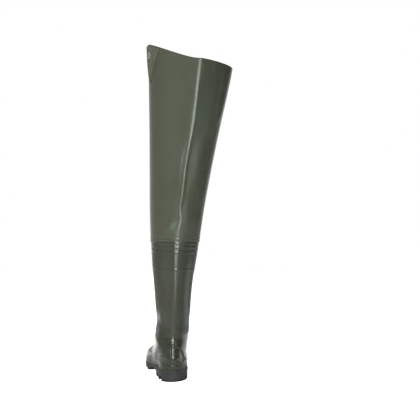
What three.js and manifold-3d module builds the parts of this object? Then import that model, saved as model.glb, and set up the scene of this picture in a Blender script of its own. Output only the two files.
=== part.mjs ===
// A left hip wader: a moulded boot on a lugged sole, with a thin thigh shaft welded round its top.
// Millimetres. +Z is up, +Y points to the toe and +X to the inner side of the leg.
// The origin is on the floor, under the middle of the heel's centre lug.
import * as THREE from "three";
import { mergeVertices } from "three/addons/utils/BufferGeometryUtils.js";
import Module from "manifold-3d";

const wasm = await Module();
wasm.setup();

// Foot and sole
const FOOT_LENGTH = 304; // sole, from the back of the heel to the tip of the toe
const BALL_WIDTH = 114; // sole, across the ball
const HEEL_WIDTH = 76; // sole, across the heel
const HEEL_HEIGHT = 27; // top edge of the sole above the floor, at the heel
const BALL_HEIGHT = 17.5; // the same at the ball
const TOE_LIFT = 8; // how much higher that edge is at the tip of the toe
const TOE_SPRING = 9; // the tread's rise at the tip of the toe
const TOE_SWING = 11; // the tip of the toe's way to the inner side
const ARCH_SWING = 6; // the waist's way to the outer side
const HEEL_SWING = 5; // the heel's way to the inner side
const HEEL_LENGTH = 92; // heel block, from back to front
const ARCH_HEIGHT = 13; // underside of the waist above the floor
const TREAD_START = 0.59; // where the forefoot's tread begins, as a share of the foot
const HEEL_GROOVE_BACKS = [34, 66]; // back edges of the heel's two grooves, from the back of the heel
const GROOVE_WIDTH = 8;
const GROOVE_DEPTH = 6;
const LUG_HEIGHT = 5; // of the forefoot's bars
const LUG_INSET = 3.5; // their ends, in from the sole's wall
const LUG_COUNT = 6;
const LUG_SWEEP = 9; // how far the middle of each bar lies ahead of its ends
const LUG_SHARE = 0.62; // bar width over bar pitch
const SOLE_LIP = 2.6; // sole's rim beyond the upper
const SOLE_LIP_HEIGHT = 5;
const SOLE_WALL_STEP = 1; // sole's wall in from its rim

// Moulded upper
const BOOT_WALL = 2.5;
const TOE_HEIGHT = 55; // top of the toe box above the floor
const INSTEP_HEIGHT = 97;
const ANKLE_HEIGHT = 130;
const ANKLE_WIDTH = 80;
const ANKLE_DEPTH = 112;
const ANKLE_CENTRE = 68; // from the back of the heel
const ANKLE_SHIFT = 6; // to the inner side
const BOOT_HEIGHT = 362;
const BOOT_TOP_WIDTH = 125;
const BOOT_TOP_DEPTH = 147;
const BOOT_TOP_CENTRE = 67;
const BOOT_TOP_SHIFT = 11.5;
const FOXING_HEIGHT = 11; // moulded band over the sole
const FOXING_STEP = 1.1;
const RIB_HEIGHTS = [270, 312, 325, 335]; // moulded ribs round the calf
const RIB_WIDTH = 4.5;
const RIB_STEP = 1.2;
const RELIEF_STEP = 1; // toe cap, counter and spur above the upper
const RELIEF_ROOT = 1.2; // how deep they root in its wall
const COUNTER_PEAK = 92; // height of the counter's line at the back
const COUNTER_LOW = 50; // and at its ends
const COUNTER_REACH = 34; // its ends, forward of the heel's back
const COUNTER_LINE = 4;
const SPUR_WIDTH = 8;
const SPUR_TOP = 88;
const LEDGE_WIDTH = 26; // short ledge at the spur's foot
const LEDGE_LOW = 52;
const LEDGE_TOP = 58;
const TOE_CAP_FOOT = 100; // where the toe cap's edge meets the sole, from the back of the heel
const TOE_CAP_TOP = 192; // where it crosses the ridge of the vamp

// Thigh shaft
const SHAFT_WALL = 1;
const SHAFT_LAP = 23; // how far it laps down over the boot
const SHAFT_TOP_WIDTH = 219;
const SHAFT_TOP_DEPTH = 206;
const SHAFT_TOP_CENTRE = 68;
const SHAFT_TOP_SHIFT = 51;
const COLLAR_LOW = 790; // the collar's height at the inner side
const COLLAR_HIGH = 848; // and at the outer side
const COLLAR_SAG = 1; // its dip between the creases and the inner side
const COLLAR_RISE = [9, 94]; // degrees from the back and front creases between which it rises to the outer side
const SHAFT_FOLD = 1.22; // exponent of the top section, 2 for an ellipse and 1 for a sharp fold
const CREASE_SHIFT_LOW = -5; // the back crease from the section's middle, at the boot
const CREASE_SHIFT_HIGH = 9; // and at the collar
const WELD_HEIGHTS = [343, 352]; // weld lines over the lap
const WELD_WIDTH = 3;
const WELD_STEP = 0.6;

// Belt patch and eyelet, on the outer side
const PATCH_TURN = 80; // degrees from the back crease
const PATCH_DROP = 3; // its top edge below the collar
const PATCH_HEIGHT = 98;
const PATCH_HALF_TURN = 22; // degrees to either side at its top edge
const PATCH_TIP_SHARE = 0.12; // width of its tip over its top
const PATCH_WALL = 0.9;
const PATCH_RIBS = [0.34, 0.6, 0.86]; // shares of its half width
const PATCH_RIB_SHARE = 0.07;
const PATCH_RIB_STEP = 0.7;
const EYELET_DROP = 28; // its middle below the collar
const EYELET_HOLE = 5; // radii
const EYELET_FLANGE = 9;
const EYELET_METAL = 0.9;

const INSOLE_THICKNESS = 4;
const GAP = 0.3; // between pieces that touch
const HEEL_BACK = -(HEEL_GROOVE_BACKS[0] + GROOVE_WIDTH + HEEL_GROOVE_BACKS[1]) / 2;

// Facets
const COLUMNS = 44; // round every section
const THIGH_ROWS = 10;
const PATCH_ROWS = 6;
const SOLE_POINTS = 56;

const { lerp, clamp, smoothstep, degToRad, radToDeg } = THREE.MathUtils;
const along = (share) => HEEL_BACK + share * FOOT_LENGTH;

// A smooth curve through one column of a table, whose rows are ordered by another.
function through(rows, key, column, at) {
  let i = 0;
  while (i < rows.length - 2 && at > rows[i + 1][key]) i += 1;
  const slope = (a, b) => (b[column] - a[column]) / (b[key] - a[key]);
  const [a, b] = [rows[i], rows[i + 1]];
  const middle = slope(a, b);
  const before = i > 0 ? (slope(rows[i - 1], a) + middle) / 2 : middle;
  const after = i < rows.length - 2 ? (middle + slope(b, rows[i + 2])) / 2 : middle;
  const span = b[key] - a[key];
  const t = clamp((at - a[key]) / span, 0, 1);
  const [t2, t3] = [t * t, t * t * t];
  return (
    (2 * t3 - 3 * t2 + 1) * a[column] +
    (t3 - 2 * t2 + t) * span * before +
    (3 * t2 - 2 * t3) * b[column] +
    (t3 - t2) * span * after
  );
}

// The top edge of the sole, by share of the foot's length
const SOLE_EDGE = [
  { share: 0, height: HEEL_HEIGHT },
  { share: 0.32, height: HEEL_HEIGHT },
  { share: 0.45, height: lerp(BALL_HEIGHT, HEEL_HEIGHT, 0.62) },
  { share: 0.6, height: lerp(BALL_HEIGHT, HEEL_HEIGHT, 0.1) },
  { share: 0.72, height: BALL_HEIGHT },
  { share: 0.88, height: BALL_HEIGHT + 0.32 * TOE_LIFT },
  { share: 1, height: BALL_HEIGHT + TOE_LIFT },
];
function soleEdge(y) {
  return through(SOLE_EDGE, "share", "height", (y - HEEL_BACK) / FOOT_LENGTH);
}

// Rings of the foot, from the sole's edge to the ankle. back and front are shares of the foot's length, and the
// widths are shares of the sole's heel and ball. round is the share of the ring that its rounded end takes.
// hug is how closely the ring follows the sole's edge, and swing how closely it follows the foot's curve.
const heelRise = (share) => lerp(HEEL_HEIGHT, ANKLE_HEIGHT, share);
const vampRise = (share) => lerp(TOE_HEIGHT, INSTEP_HEIGHT, share);
const FOOT_RINGS = [
  { back: 0.009, rise: HEEL_HEIGHT + GAP, front: 0.991, top: BALL_HEIGHT + TOE_LIFT + GAP, heel: 0.92, waist: 0.87,
    ball: 0.945, backRound: 0.19, frontRound: 0.25, hug: 1, swing: 1 },
  { back: 0.005, rise: HEEL_HEIGHT + FOXING_HEIGHT, front: 0.994, top: BALL_HEIGHT + TOE_LIFT + FOXING_HEIGHT,
    heel: 0.94, waist: 0.885, ball: 0.95, backRound: 0.19, frontRound: 0.25, hug: 0.9, swing: 1 },
  { back: 0.004, rise: heelRise(0.19), front: 0.985, top: 0.71 * TOE_HEIGHT, heel: 0.94, waist: 0.895,
    ball: 0.935, backRound: 0.19, frontRound: 0.26, hug: 0.6, swing: 0.95 },
  { back: 0.004, rise: heelRise(0.25), front: 0.958, top: 0.87 * TOE_HEIGHT, heel: 0.94, waist: 0.905,
    ball: 0.895, backRound: 0.195, frontRound: 0.29, hug: 0.35, swing: 0.85 },
  { back: 0.006, rise: heelRise(0.31), front: 0.905, top: TOE_HEIGHT, heel: 0.94, waist: 0.915,
    ball: 0.8, backRound: 0.2, frontRound: 0.34, hug: 0.15, swing: 0.7 },
  { back: 0.009, rise: heelRise(0.36), front: 0.833, top: vampRise(0.14), heel: 0.945, waist: 0.925,
    ball: 0.73, backRound: 0.21, frontRound: 0.4, hug: 0, swing: 0.5 },
  { back: 0.012, rise: heelRise(0.41), front: 0.742, top: vampRise(0.3), heel: 0.955, waist: 0.94,
    ball: 0.69, backRound: 0.22, frontRound: 0.45, hug: 0, swing: 0.33 },
  { back: 0.016, rise: heelRise(0.46), front: 0.655, top: vampRise(0.5), heel: 0.965, waist: 0.96,
    ball: 0.67, backRound: 0.235, frontRound: 0.48, hug: 0, swing: 0.2 },
  { back: 0.02, rise: heelRise(0.52), front: 0.573, top: vampRise(0.74), heel: 0.98, waist: 0.98,
    ball: 0.67, backRound: 0.26, frontRound: 0.49, hug: 0, swing: 0.1 },
  { back: 0.025, rise: heelRise(0.6), front: 0.505, top: vampRise(1), heel: 0.995, waist: 1,
    ball: 0.68, backRound: 0.29, frontRound: 0.49, hug: 0, swing: 0 },
  { back: 0.031, rise: heelRise(0.71), front: 0.455, top: INSTEP_HEIGHT + 0.14 * ANKLE_HEIGHT, heel: 1.015,
    waist: 1.03, ball: 0.7, backRound: 0.34, frontRound: 0.49, hug: 0, swing: 0 },
  { back: 0.037, rise: heelRise(0.85), front: 0.427, top: INSTEP_HEIGHT + 0.27 * ANKLE_HEIGHT, heel: 1.045,
    waist: 1.06, ball: 0.735, backRound: 0.4, frontRound: 0.5, hug: 0, swing: 0 },
];
// Rings of the leg, as shares of the way from the ankle to the boot's top. tilt is the front's rise over the back,
// as a share of the ankle's depth.
const LEG_RINGS = [
  { up: 0, grow: 0, lean: 0, tilt: 0.22 },
  { up: 0.15, grow: 0.15, lean: 0, tilt: 0.12 },
  { up: 0.31, grow: 0.26, lean: 0, tilt: 0.04 },
  { up: 0.5, grow: 0.44, lean: 0.08, tilt: 0 },
  { up: 0.69, grow: 0.69, lean: 0.38, tilt: 0 },
  { up: 0.86, grow: 0.89, lean: 0.74, tilt: 0 },
  { up: 1, grow: 1, lean: 1, tilt: 0 },
];

// Every ring in millimetres, ordered by rise, its height at the back of the leg
const RINGS = [
  ...FOOT_RINGS.map((ring) => ({
    ...ring,
    back: along(ring.back),
    front: along(ring.front),
    heel: (ring.heel * HEEL_WIDTH) / 2,
    waist: (ring.waist * HEEL_WIDTH) / 2,
    ball: (ring.ball * BALL_WIDTH) / 2,
    shift: ANKLE_SHIFT * smoothstep(ring.rise, heelRise(0.2), ANKLE_HEIGHT),
  })),
  ...LEG_RINGS.map(({ up, grow, lean, tilt }) => {
    const half = lerp(ANKLE_WIDTH, BOOT_TOP_WIDTH, grow) / 2;
    const depth = lerp(ANKLE_DEPTH, BOOT_TOP_DEPTH, grow);
    const centre = HEEL_BACK + lerp(ANKLE_CENTRE, BOOT_TOP_CENTRE, up);
    const rise = lerp(ANKLE_HEIGHT, BOOT_HEIGHT, up);
    return {
      rise,
      top: rise + tilt * ANKLE_DEPTH,
      back: centre - depth / 2,
      front: centre + depth / 2,
      heel: half,
      waist: half,
      ball: half,
      backRound: lerp(0.45, 0.5, smoothstep(up, 0, 0.3)),
      frontRound: 0.5,
      hug: 0,
      swing: 0,
      shift: lerp(ANKLE_SHIFT, BOOT_TOP_SHIFT, lean),
    };
  }),
];
function ringAt(rise) {
  const ring = {};
  for (const column of Object.keys(RINGS[0])) ring[column] = through(RINGS, "rise", column, rise);
  return ring;
}

const ROUNDNESS = 2.15; // exponent of the foot's rounded ends, 2 for an ellipse
const roundEnd = (share, power) => (share >= 1 ? 1 : (1 - (1 - share) ** power) ** (1 / power));

// Half width and middle of a ring at share u of its length, from back to front
function ringPlan(ring, u) {
  const power = ring.frontRound >= 0.5 ? 2 : lerp(ROUNDNESS, 2, smoothstep(ring.frontRound, 0.3, 0.5));
  const side =
    u < 0.42
      ? lerp(ring.heel, ring.waist, smoothstep(u, 0.14, 0.42))
      : lerp(ring.waist, ring.ball, smoothstep(u, 0.42, 0.74));
  const toe = TOE_SWING * smoothstep(u, 0.55, 1);
  const arch = ARCH_SWING * smoothstep(u, 0.22, 0.48) * (1 - smoothstep(u, 0.58, 0.85));
  const heel = HEEL_SWING * smoothstep(u, 0, 0.16) * (1 - smoothstep(u, 0.2, 0.4));
  return {
    half: side * roundEnd(u / ring.backRound, power) * roundEnd((1 - u) / ring.frontRound, power),
    middle: ring.shift + ring.swing * (toe - arch + heel),
  };
}

// A point of the moulded upper's plain outer face: rise picks the ring, and turn goes round it from the back
function bootPoint(rise, turn) {
  const ring = ringAt(rise);
  const u = (1 - Math.cos(turn)) / 2;
  const { half, middle } = ringPlan(ring, u);
  const y = lerp(ring.back, ring.front, u);
  const sag = soleEdge(y) - lerp(soleEdge(ring.back), soleEdge(ring.front), u);
  const z = lerp(ring.rise, ring.top, u) + ring.hug * sag;
  return new THREE.Vector3(middle + Math.sign(Math.sin(turn)) * half, y, z);
}

// The thigh shaft's sections, as shares of the way from the boot's top to the collar's low side
const SHAFT_RINGS = [
  { up: 0, grow: 0, deep: 0, fold: 0, lean: 0 },
  { up: 0.15, grow: 0.13, deep: 0.16, fold: 0.22, lean: 0.1 },
  { up: 0.35, grow: 0.31, deep: 0.38, fold: 0.6, lean: 0.29 },
  { up: 0.6, grow: 0.56, deep: 0.64, fold: 0.85, lean: 0.55 },
  { up: 0.85, grow: 0.845, deep: 0.88, fold: 1, lean: 0.83 },
  { up: 1, grow: 1, deep: 1, fold: 1, lean: 0.98 },
  { up: 1.12, grow: 1.09, deep: 1.04, fold: 1, lean: 1.02 },
];
const SHAFT_LOW = BOOT_HEIGHT - SHAFT_LAP;
function collarHeight(turn) {
  const fromCrease = radToDeg(Math.acos(Math.abs(Math.cos(turn))));
  if (Math.sin(turn) > 0) return COLLAR_LOW - COLLAR_SAG * Math.sin(2 * degToRad(fromCrease));
  return lerp(COLLAR_LOW, COLLAR_HIGH, smoothstep(fromCrease, ...COLLAR_RISE));
}

// A point of the shaft's inner face at a height. Below the boot's top it lies over the boot, clear by the gap.
function shaftPoint(height, turn) {
  const boot = ringAt(Math.min(height, BOOT_HEIGHT));
  const up = Math.max(0, (height - BOOT_HEIGHT) / (COLLAR_LOW - BOOT_HEIGHT));
  const [grow, deep, fold, lean] = ["grow", "deep", "fold", "lean"].map((c) => through(SHAFT_RINGS, "up", c, up));
  const half = lerp(boot.waist + GAP, SHAFT_TOP_WIDTH / 2 - SHAFT_WALL, grow);
  const depth = lerp((boot.front - boot.back) / 2 + GAP, SHAFT_TOP_DEPTH / 2 - SHAFT_WALL, deep);
  const middle = lerp(boot.shift, SHAFT_TOP_SHIFT, lean);
  const centre = lerp((boot.front + boot.back) / 2, HEEL_BACK + SHAFT_TOP_CENTRE, up);
  const power = lerp(2, SHAFT_FOLD, fold);
  const [sine, cosine] = [Math.sin(turn), Math.cos(turn)];
  const crease = lerp(CREASE_SHIFT_LOW, CREASE_SHIFT_HIGH, fold) * smoothstep(fold, 0, 0.3) * Math.max(0, cosine) ** 3;
  return new THREE.Vector3(
    middle + crease + half * Math.sign(sine) * Math.abs(sine) ** (2 / power),
    centre - depth * cosine,
    height,
  );
}

// A point that lies a distance outward of a surface, whose two arguments are a row and a turn
const STEP = 0.01; // of the two short steps that give the surface's normal
function outward(surface, row, turn, distance) {
  const point = surface(row, turn);
  const up = surface(row + STEP * 10, turn).sub(surface(row - STEP * 10, turn));
  const round = surface(row, turn + STEP).sub(surface(row, turn - STEP));
  return point.addScaledVector(round.cross(up).normalize(), distance);
}

// A closed mesh from rows of points, each row a closed loop, where the last row joins the first
function ringMesh(rows) {
  const count = rows[0].length;
  const positions = rows.flat().flatMap((p) => [p.x, p.y, p.z]);
  const index = [];
  rows.forEach((_, r) => {
    const [low, high] = [r * count, ((r + 1) % rows.length) * count];
    for (let c = 0; c < count; c += 1) {
      const next = (c + 1) % count;
      index.push(low + c, low + next, high + next, low + c, high + next, high + c);
    }
  });
  const geometry = new THREE.BufferGeometry();
  geometry.setAttribute("position", new THREE.Float32BufferAttribute(positions, 3));
  geometry.setIndex(index);
  return geometry;
}

function solidOf(geometry) {
  const bare = new THREE.BufferGeometry();
  bare.setAttribute("position", geometry.getAttribute("position"));
  if (geometry.index) bare.setIndex(geometry.index);
  const merged = mergeVertices(bare, 1e-4);
  return new wasm.Manifold(
    new wasm.Mesh({
      numProp: 3,
      vertProperties: merged.getAttribute("position").array,
      triVerts: new Uint32Array(merged.index.array),
    }),
  );
}

function geometryOf(solid) {
  const mesh = solid.getMesh();
  const positions = new Float32Array(mesh.numVert * 3);
  for (let i = 0; i < mesh.numVert; i += 1) {
    positions.set(mesh.vertProperties.subarray(i * mesh.numProp, i * mesh.numProp + 3), i * 3);
  }
  const geometry = new THREE.BufferGeometry();
  geometry.setAttribute("position", new THREE.BufferAttribute(positions, 3));
  geometry.setIndex(new THREE.BufferAttribute(new Uint32Array(mesh.triVerts), 1));
  geometry.computeVertexNormals();
  return geometry;
}

// Solids from flat outlines: seen from the side (y, z), from above (x, y) or from behind (x, z)
const X = new THREE.Vector3(1, 0, 0);
const Y = new THREE.Vector3(0, 1, 0);
const Z = new THREE.Vector3(0, 0, 1);
function extruded(outline, depth, right, up, start) {
  const shape = outline instanceof THREE.Shape ? outline : new THREE.Shape(outline.map(([x, y]) => new THREE.Vector2(x, y)));
  const geometry = new THREE.ExtrudeGeometry(shape, { depth, bevelEnabled: false, curveSegments: 10 });
  const out = new THREE.Vector3().crossVectors(right, up);
  geometry.applyMatrix4(new THREE.Matrix4().makeBasis(right, up, out).setPosition(out.clone().multiplyScalar(start)));
  return solidOf(geometry);
}
const REACH = 2 * FOOT_LENGTH; // longer than any cut
const sideCut = (outline) => extruded(outline, 2 * REACH, Y, Z, -REACH);
const planCut = (outline, low, high) => extruded(outline, high - low, X, Y, low);
const rearCut = (outline, frontY) => extruded(outline, REACH, X, Z, -frontY);

const TURNS = Array.from({ length: COLUMNS }, (_, i) => (2 * Math.PI * i) / COLUMNS);
const bootRow = (rise, distance) => TURNS.map((turn) => outward(bootPoint, rise, turn, distance));

// The upper's bottom edge, one gap over the sole's top
function footRow(distance) {
  const row = bootRow(RINGS[0].rise, distance);
  for (const point of row) point.z = soleEdge(point.y) + GAP;
  return row;
}
const levelRow = (row, height) => row.map((point) => point.setZ(height));

// A band of the upper's own form, between two distances from its plain face
function bootBand(rises, inner, outer) {
  const out = rises.map((rise) => bootRow(rise, outer));
  const back = rises.map((rise) => bootRow(rise, inner)).reverse();
  return solidOf(ringMesh([...out, ...back]));
}

// Toe cap, counter line, spur and ledge, which stand above the upper's face
function upperRelief() {
  const footRises = RINGS.slice(1, FOOT_RINGS.length).map((ring) => ring.rise);
  const band = bootBand(footRises, -RELIEF_ROOT, RELIEF_STEP);
  const capFoot = HEEL_BACK + TOE_CAP_FOOT;
  const capTop = HEEL_BACK + TOE_CAP_TOP;
  const toeCap = new THREE.Shape();
  toeCap.moveTo(capFoot, 0);
  toeCap.lineTo(capFoot, soleEdge(capFoot));
  toeCap.quadraticCurveTo(lerp(capFoot, capTop, 0.2), 0.75 * TOE_HEIGHT, lerp(capFoot, capTop, 0.72), TOE_HEIGHT);
  toeCap.quadraticCurveTo(capTop, 1.15 * TOE_HEIGHT, capTop, 2 * TOE_HEIGHT);
  toeCap.lineTo(REACH, 2 * TOE_HEIGHT);
  toeCap.lineTo(REACH, 0);

  const half = HEEL_WIDTH / 2;
  const counterFront = HEEL_BACK + COUNTER_REACH;
  const slope = (COUNTER_PEAK - COUNTER_LOW) / half;
  const counter = [
    [0, COUNTER_PEAK],
    [-2 * half, COUNTER_PEAK - 2 * half * slope],
    [-2 * half, COUNTER_PEAK - 2 * half * slope - COUNTER_LINE],
    [0, COUNTER_PEAK - COUNTER_LINE * 1.4],
    [2 * half, COUNTER_PEAK - 2 * half * slope - COUNTER_LINE],
    [2 * half, COUNTER_PEAK - 2 * half * slope],
  ];
  const spur = [
    [-SPUR_WIDTH / 2, LEDGE_LOW],
    [SPUR_WIDTH / 2, LEDGE_LOW],
    [SPUR_WIDTH / 2, SPUR_TOP - SPUR_WIDTH / 3],
    [0, SPUR_TOP],
    [-SPUR_WIDTH / 2, SPUR_TOP - SPUR_WIDTH / 3],
  ];
  const ledge = [
    [-LEDGE_WIDTH / 2, LEDGE_LOW],
    [LEDGE_WIDTH / 2, LEDGE_LOW],
    [LEDGE_WIDTH / 2, LEDGE_TOP],
    [-LEDGE_WIDTH / 2, LEDGE_TOP],
  ];

  const cuts = [sideCut(toeCap), rearCut(counter, counterFront), rearCut(spur, 0), rearCut(ledge, 0)];
  return band.intersect(cuts.reduce((all, cut) => all.add(cut)));
}

function bootUpper() {
  const foot = RINGS.slice(0, FOOT_RINGS.length).map((ring) => ring.rise);
  const leg = RINGS.slice(FOOT_RINGS.length).map((ring) => ring.rise);
  const ribs = RIB_HEIGHTS.flatMap((z) => [
    { rise: z - RIB_WIDTH / 2, step: 0 },
    { rise: z, step: RIB_STEP },
    { rise: z + RIB_WIDTH / 2, step: 0 },
  ]);
  const clearOfRibs = (rise) => RIB_HEIGHTS.every((z) => Math.abs(rise - z) > RIB_WIDTH);
  const plain = [...foot.slice(2), ...leg.slice(0, -1).filter(clearOfRibs)].map((rise) => ({ rise, step: 0 }));
  const faces = [...plain, ...ribs].sort((a, b) => a.rise - b.rise);
  const top = leg[leg.length - 1];
  const outside = [
    footRow(FOXING_STEP),
    bootRow(foot[1] - FOXING_STEP, FOXING_STEP),
    bootRow(foot[1] + FOXING_STEP, 0),
    ...faces.map(({ rise, step }) => bootRow(rise, step)),
    levelRow(bootRow(top, 0), top),
  ];
  const inside = [
    levelRow(bootRow(top, -BOOT_WALL), top),
    ...leg.slice(0, -1).reverse().map((rise) => bootRow(rise, -BOOT_WALL)),
    ...foot.slice(1).reverse().map((rise) => bootRow(rise, -BOOT_WALL)),
    footRow(-BOOT_WALL),
  ];
  return solidOf(ringMesh([...outside, ...inside])).add(upperRelief());
}

// The shaft's row at a share of its height, which follows the collar's slope near the top
const shaftHeight = (share, turn) =>
  lerp(SHAFT_LOW, COLLAR_LOW, share) + (collarHeight(turn) - COLLAR_LOW) * share ** 3;
const shaftRow = (share, distance) =>
  TURNS.map((turn) => outward(shaftPoint, shaftHeight(share, turn), turn, distance));
const trimmedShaftRow = (share, distance) =>
  shaftRow(share, distance).map((point, i) => point.setZ(shaftHeight(share, TURNS[i])));

function thighShaft() {
  const lap = (BOOT_HEIGHT + 4 - SHAFT_LOW) / (COLLAR_LOW - SHAFT_LOW);
  const plain = Array.from({ length: THIGH_ROWS }, (_, i) => lerp(lap, 1, i / THIGH_ROWS));
  const welds = WELD_HEIGHTS.flatMap((z) =>
    [-1, 0, 1].map((side) => ({
      share: (z + (side * WELD_WIDTH) / 2 - SHAFT_LOW) / (COLLAR_LOW - SHAFT_LOW),
      step: side === 0 ? WELD_STEP : 0,
    })),
  );
  const faces = [...welds, ...plain.map((share) => ({ share, step: 0 }))].sort((a, b) => a.share - b.share);
  const outside = [
    trimmedShaftRow(0, SHAFT_WALL),
    ...faces.map(({ share, step }) => shaftRow(share, SHAFT_WALL + step)),
    trimmedShaftRow(1, SHAFT_WALL),
  ];
  const inside = [trimmedShaftRow(1, 0), ...plain.reverse().map((share) => shaftRow(share, 0)), trimmedShaftRow(0, 0)];
  return solidOf(ringMesh([...outside, ...inside])).subtract(eyeletBore());
}

// The eyelet's middle on the shaft's outer face, and the way that it faces
const PATCH_MIDDLE = 2 * Math.PI - degToRad(PATCH_TURN);
function eyeletSeat() {
  const height = collarHeight(PATCH_MIDDLE) - EYELET_DROP;
  const middle = outward(shaftPoint, height, PATCH_MIDDLE, SHAFT_WALL);
  const facing = outward(shaftPoint, height, PATCH_MIDDLE, SHAFT_WALL + 1).sub(middle);
  return new THREE.Matrix4().makeRotationFromQuaternion(new THREE.Quaternion().setFromUnitVectors(Y, facing)).setPosition(middle);
}

function eyeletBore() {
  const length = 4 * EYELET_FLANGE;
  const radius = EYELET_HOLE + EYELET_METAL + GAP;
  return solidOf(new THREE.CylinderGeometry(radius, radius, length, 20).applyMatrix4(eyeletSeat()));
}

// One rolled ring of metal that grips both faces of the shaft and the patch
function beltEyelet() {
  const outer = EYELET_HOLE + EYELET_METAL;
  const front = PATCH_WALL + 3 * GAP;
  const bulge = EYELET_FLANGE ** 2 / (0.55 * SHAFT_TOP_DEPTH);
  const back = -SHAFT_WALL - 2 * GAP - bulge;
  const outline = [
    [EYELET_HOLE, back - EYELET_METAL],
    [EYELET_FLANGE, back - EYELET_METAL],
    [EYELET_FLANGE, back],
    [outer, back],
    [outer, front],
    [EYELET_FLANGE, front],
    [EYELET_FLANGE, front + EYELET_METAL / 2],
    [EYELET_FLANGE - EYELET_METAL / 2, front + EYELET_METAL],
    [EYELET_HOLE, front + EYELET_METAL],
    [EYELET_HOLE, back - EYELET_METAL],
  ];
  const profile = outline.map(([radius, height]) => new THREE.Vector2(radius, height));
  return solidOf(new THREE.LatheGeometry(profile, 20).applyMatrix4(eyeletSeat()));
}

// A three-cornered patch under the collar, with ribs that run down to its tip
function beltPatch() {
  const ribs = PATCH_RIBS.flatMap((share) => [
    { across: share - PATCH_RIB_SHARE, step: 0 },
    { across: share, step: PATCH_RIB_STEP },
    { across: share + PATCH_RIB_SHARE, step: 0 },
  ]);
  const right = [...ribs, { across: 1, step: 0 }];
  const left = right.map(({ across, step }) => ({ across: -across, step })).reverse();
  const columns = [...left, { across: 0, step: 0 }, ...right];
  const place = (down, across, distance) => {
    const spread = degToRad(PATCH_HALF_TURN) * lerp(1, PATCH_TIP_SHARE, down);
    const turn = PATCH_MIDDLE + across * spread;
    const height = collarHeight(turn) - PATCH_DROP - down * PATCH_HEIGHT;
    return outward(shaftPoint, height, turn, SHAFT_WALL + 1.6 * GAP + distance);
  };
  const downs = Array.from({ length: PATCH_ROWS + 1 }, (_, i) => i / PATCH_ROWS);
  // Each loop runs over the front of the patch and returns behind it, from its top to its tip
  const loops = downs.map((down) => [
    ...columns.map(({ across, step }) => place(down, across, PATCH_WALL + step)),
    ...[...columns].reverse().map(({ across }) => place(down, across, 0)),
  ]);
  return solidOf(cappedMesh(loops)).subtract(eyeletBore());
}

// A closed mesh from loops, whose two ends are closed by strips across each loop
function cappedMesh(loops) {
  const count = loops[0].length;
  const positions = loops.flat().flatMap((p) => [p.x, p.y, p.z]);
  const index = [];
  for (let r = 0; r < loops.length - 1; r += 1) {
    for (let c = 0; c < count; c += 1) {
      const next = (c + 1) % count;
      const [low, high] = [r * count, (r + 1) * count];
      index.push(low + c, high + c, high + next, low + c, high + next, low + next);
    }
  }
  const last = (loops.length - 1) * count;
  for (let c = 0; c < count / 2 - 1; c += 1) {
    const [a, b, d, e] = [c, c + 1, count - 1 - c, count - 2 - c];
    index.push(a, b, e, a, e, d);
    index.push(last + a, last + e, last + b, last + a, last + d, last + e);
  }
  const geometry = new THREE.BufferGeometry();
  geometry.setAttribute("position", new THREE.Float32BufferAttribute(positions, 3));
  geometry.setIndex(index);
  return geometry;
}

// The upper's lowest ring grown or shrunk, as an outline seen from above
function soleOutline(distance) {
  return Array.from({ length: SOLE_POINTS }, (_, i) => {
    const turn = (2 * Math.PI * i) / SOLE_POINTS;
    const point = outward(bootPoint, RINGS[0].rise, turn, 0);
    const ahead = bootPoint(RINGS[0].rise, turn + STEP);
    const behind = bootPoint(RINGS[0].rise, turn - STEP);
    const normal = new THREE.Vector2(ahead.y - behind.y, behind.x - ahead.x).normalize();
    return [point.x + normal.x * distance, point.y + normal.y * distance];
  });
}

// The curve of the sole's top, a height above or below its edge, from heel to toe
function edgeCurve(lift) {
  const steps = 24;
  const [start, end] = [HEEL_BACK - 2 * SOLE_LIP, along(1) + 2 * SOLE_LIP];
  return Array.from({ length: steps + 1 }, (_, i) => {
    const y = lerp(start, end, i / steps);
    return [y, soleEdge(y) + lift];
  });
}

// The underside seen from the side: heel block, waist and forefoot, whose tip springs up
function treadCurve(lift) {
  const breast = HEEL_BACK + HEEL_LENGTH;
  const forefoot = along(TREAD_START);
  const spring = along(0.76);
  const tip = along(1) + 2 * SOLE_LIP;
  const steps = 6;
  const rise = (share) => TOE_SPRING * share ** 2;
  return [
    [HEEL_BACK - 2 * SOLE_LIP, 0],
    [breast, 0],
    [breast + 0.2 * ARCH_HEIGHT, ARCH_HEIGHT],
    [lerp(breast, forefoot, 0.6), ARCH_HEIGHT],
    [forefoot, lift],
    ...Array.from({ length: steps + 1 }, (_, i) => [lerp(spring, tip, i / steps), lift + rise(i / steps)]),
  ];
}
const between = (low, high) => sideCut([...low, ...[...high].reverse()]);

// One swept bar of the forefoot, seen from above
function lugOutline(middle, width) {
  const reach = BALL_WIDTH;
  const ends = middle - LUG_SWEEP * (reach / (BALL_WIDTH / 2));
  return [
    [-reach, ends - width / 2],
    [0, middle - width / 2],
    [reach, ends - width / 2],
    [reach, ends + width / 2],
    [0, middle + width / 2],
    [-reach, ends + width / 2],
  ];
}

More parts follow.
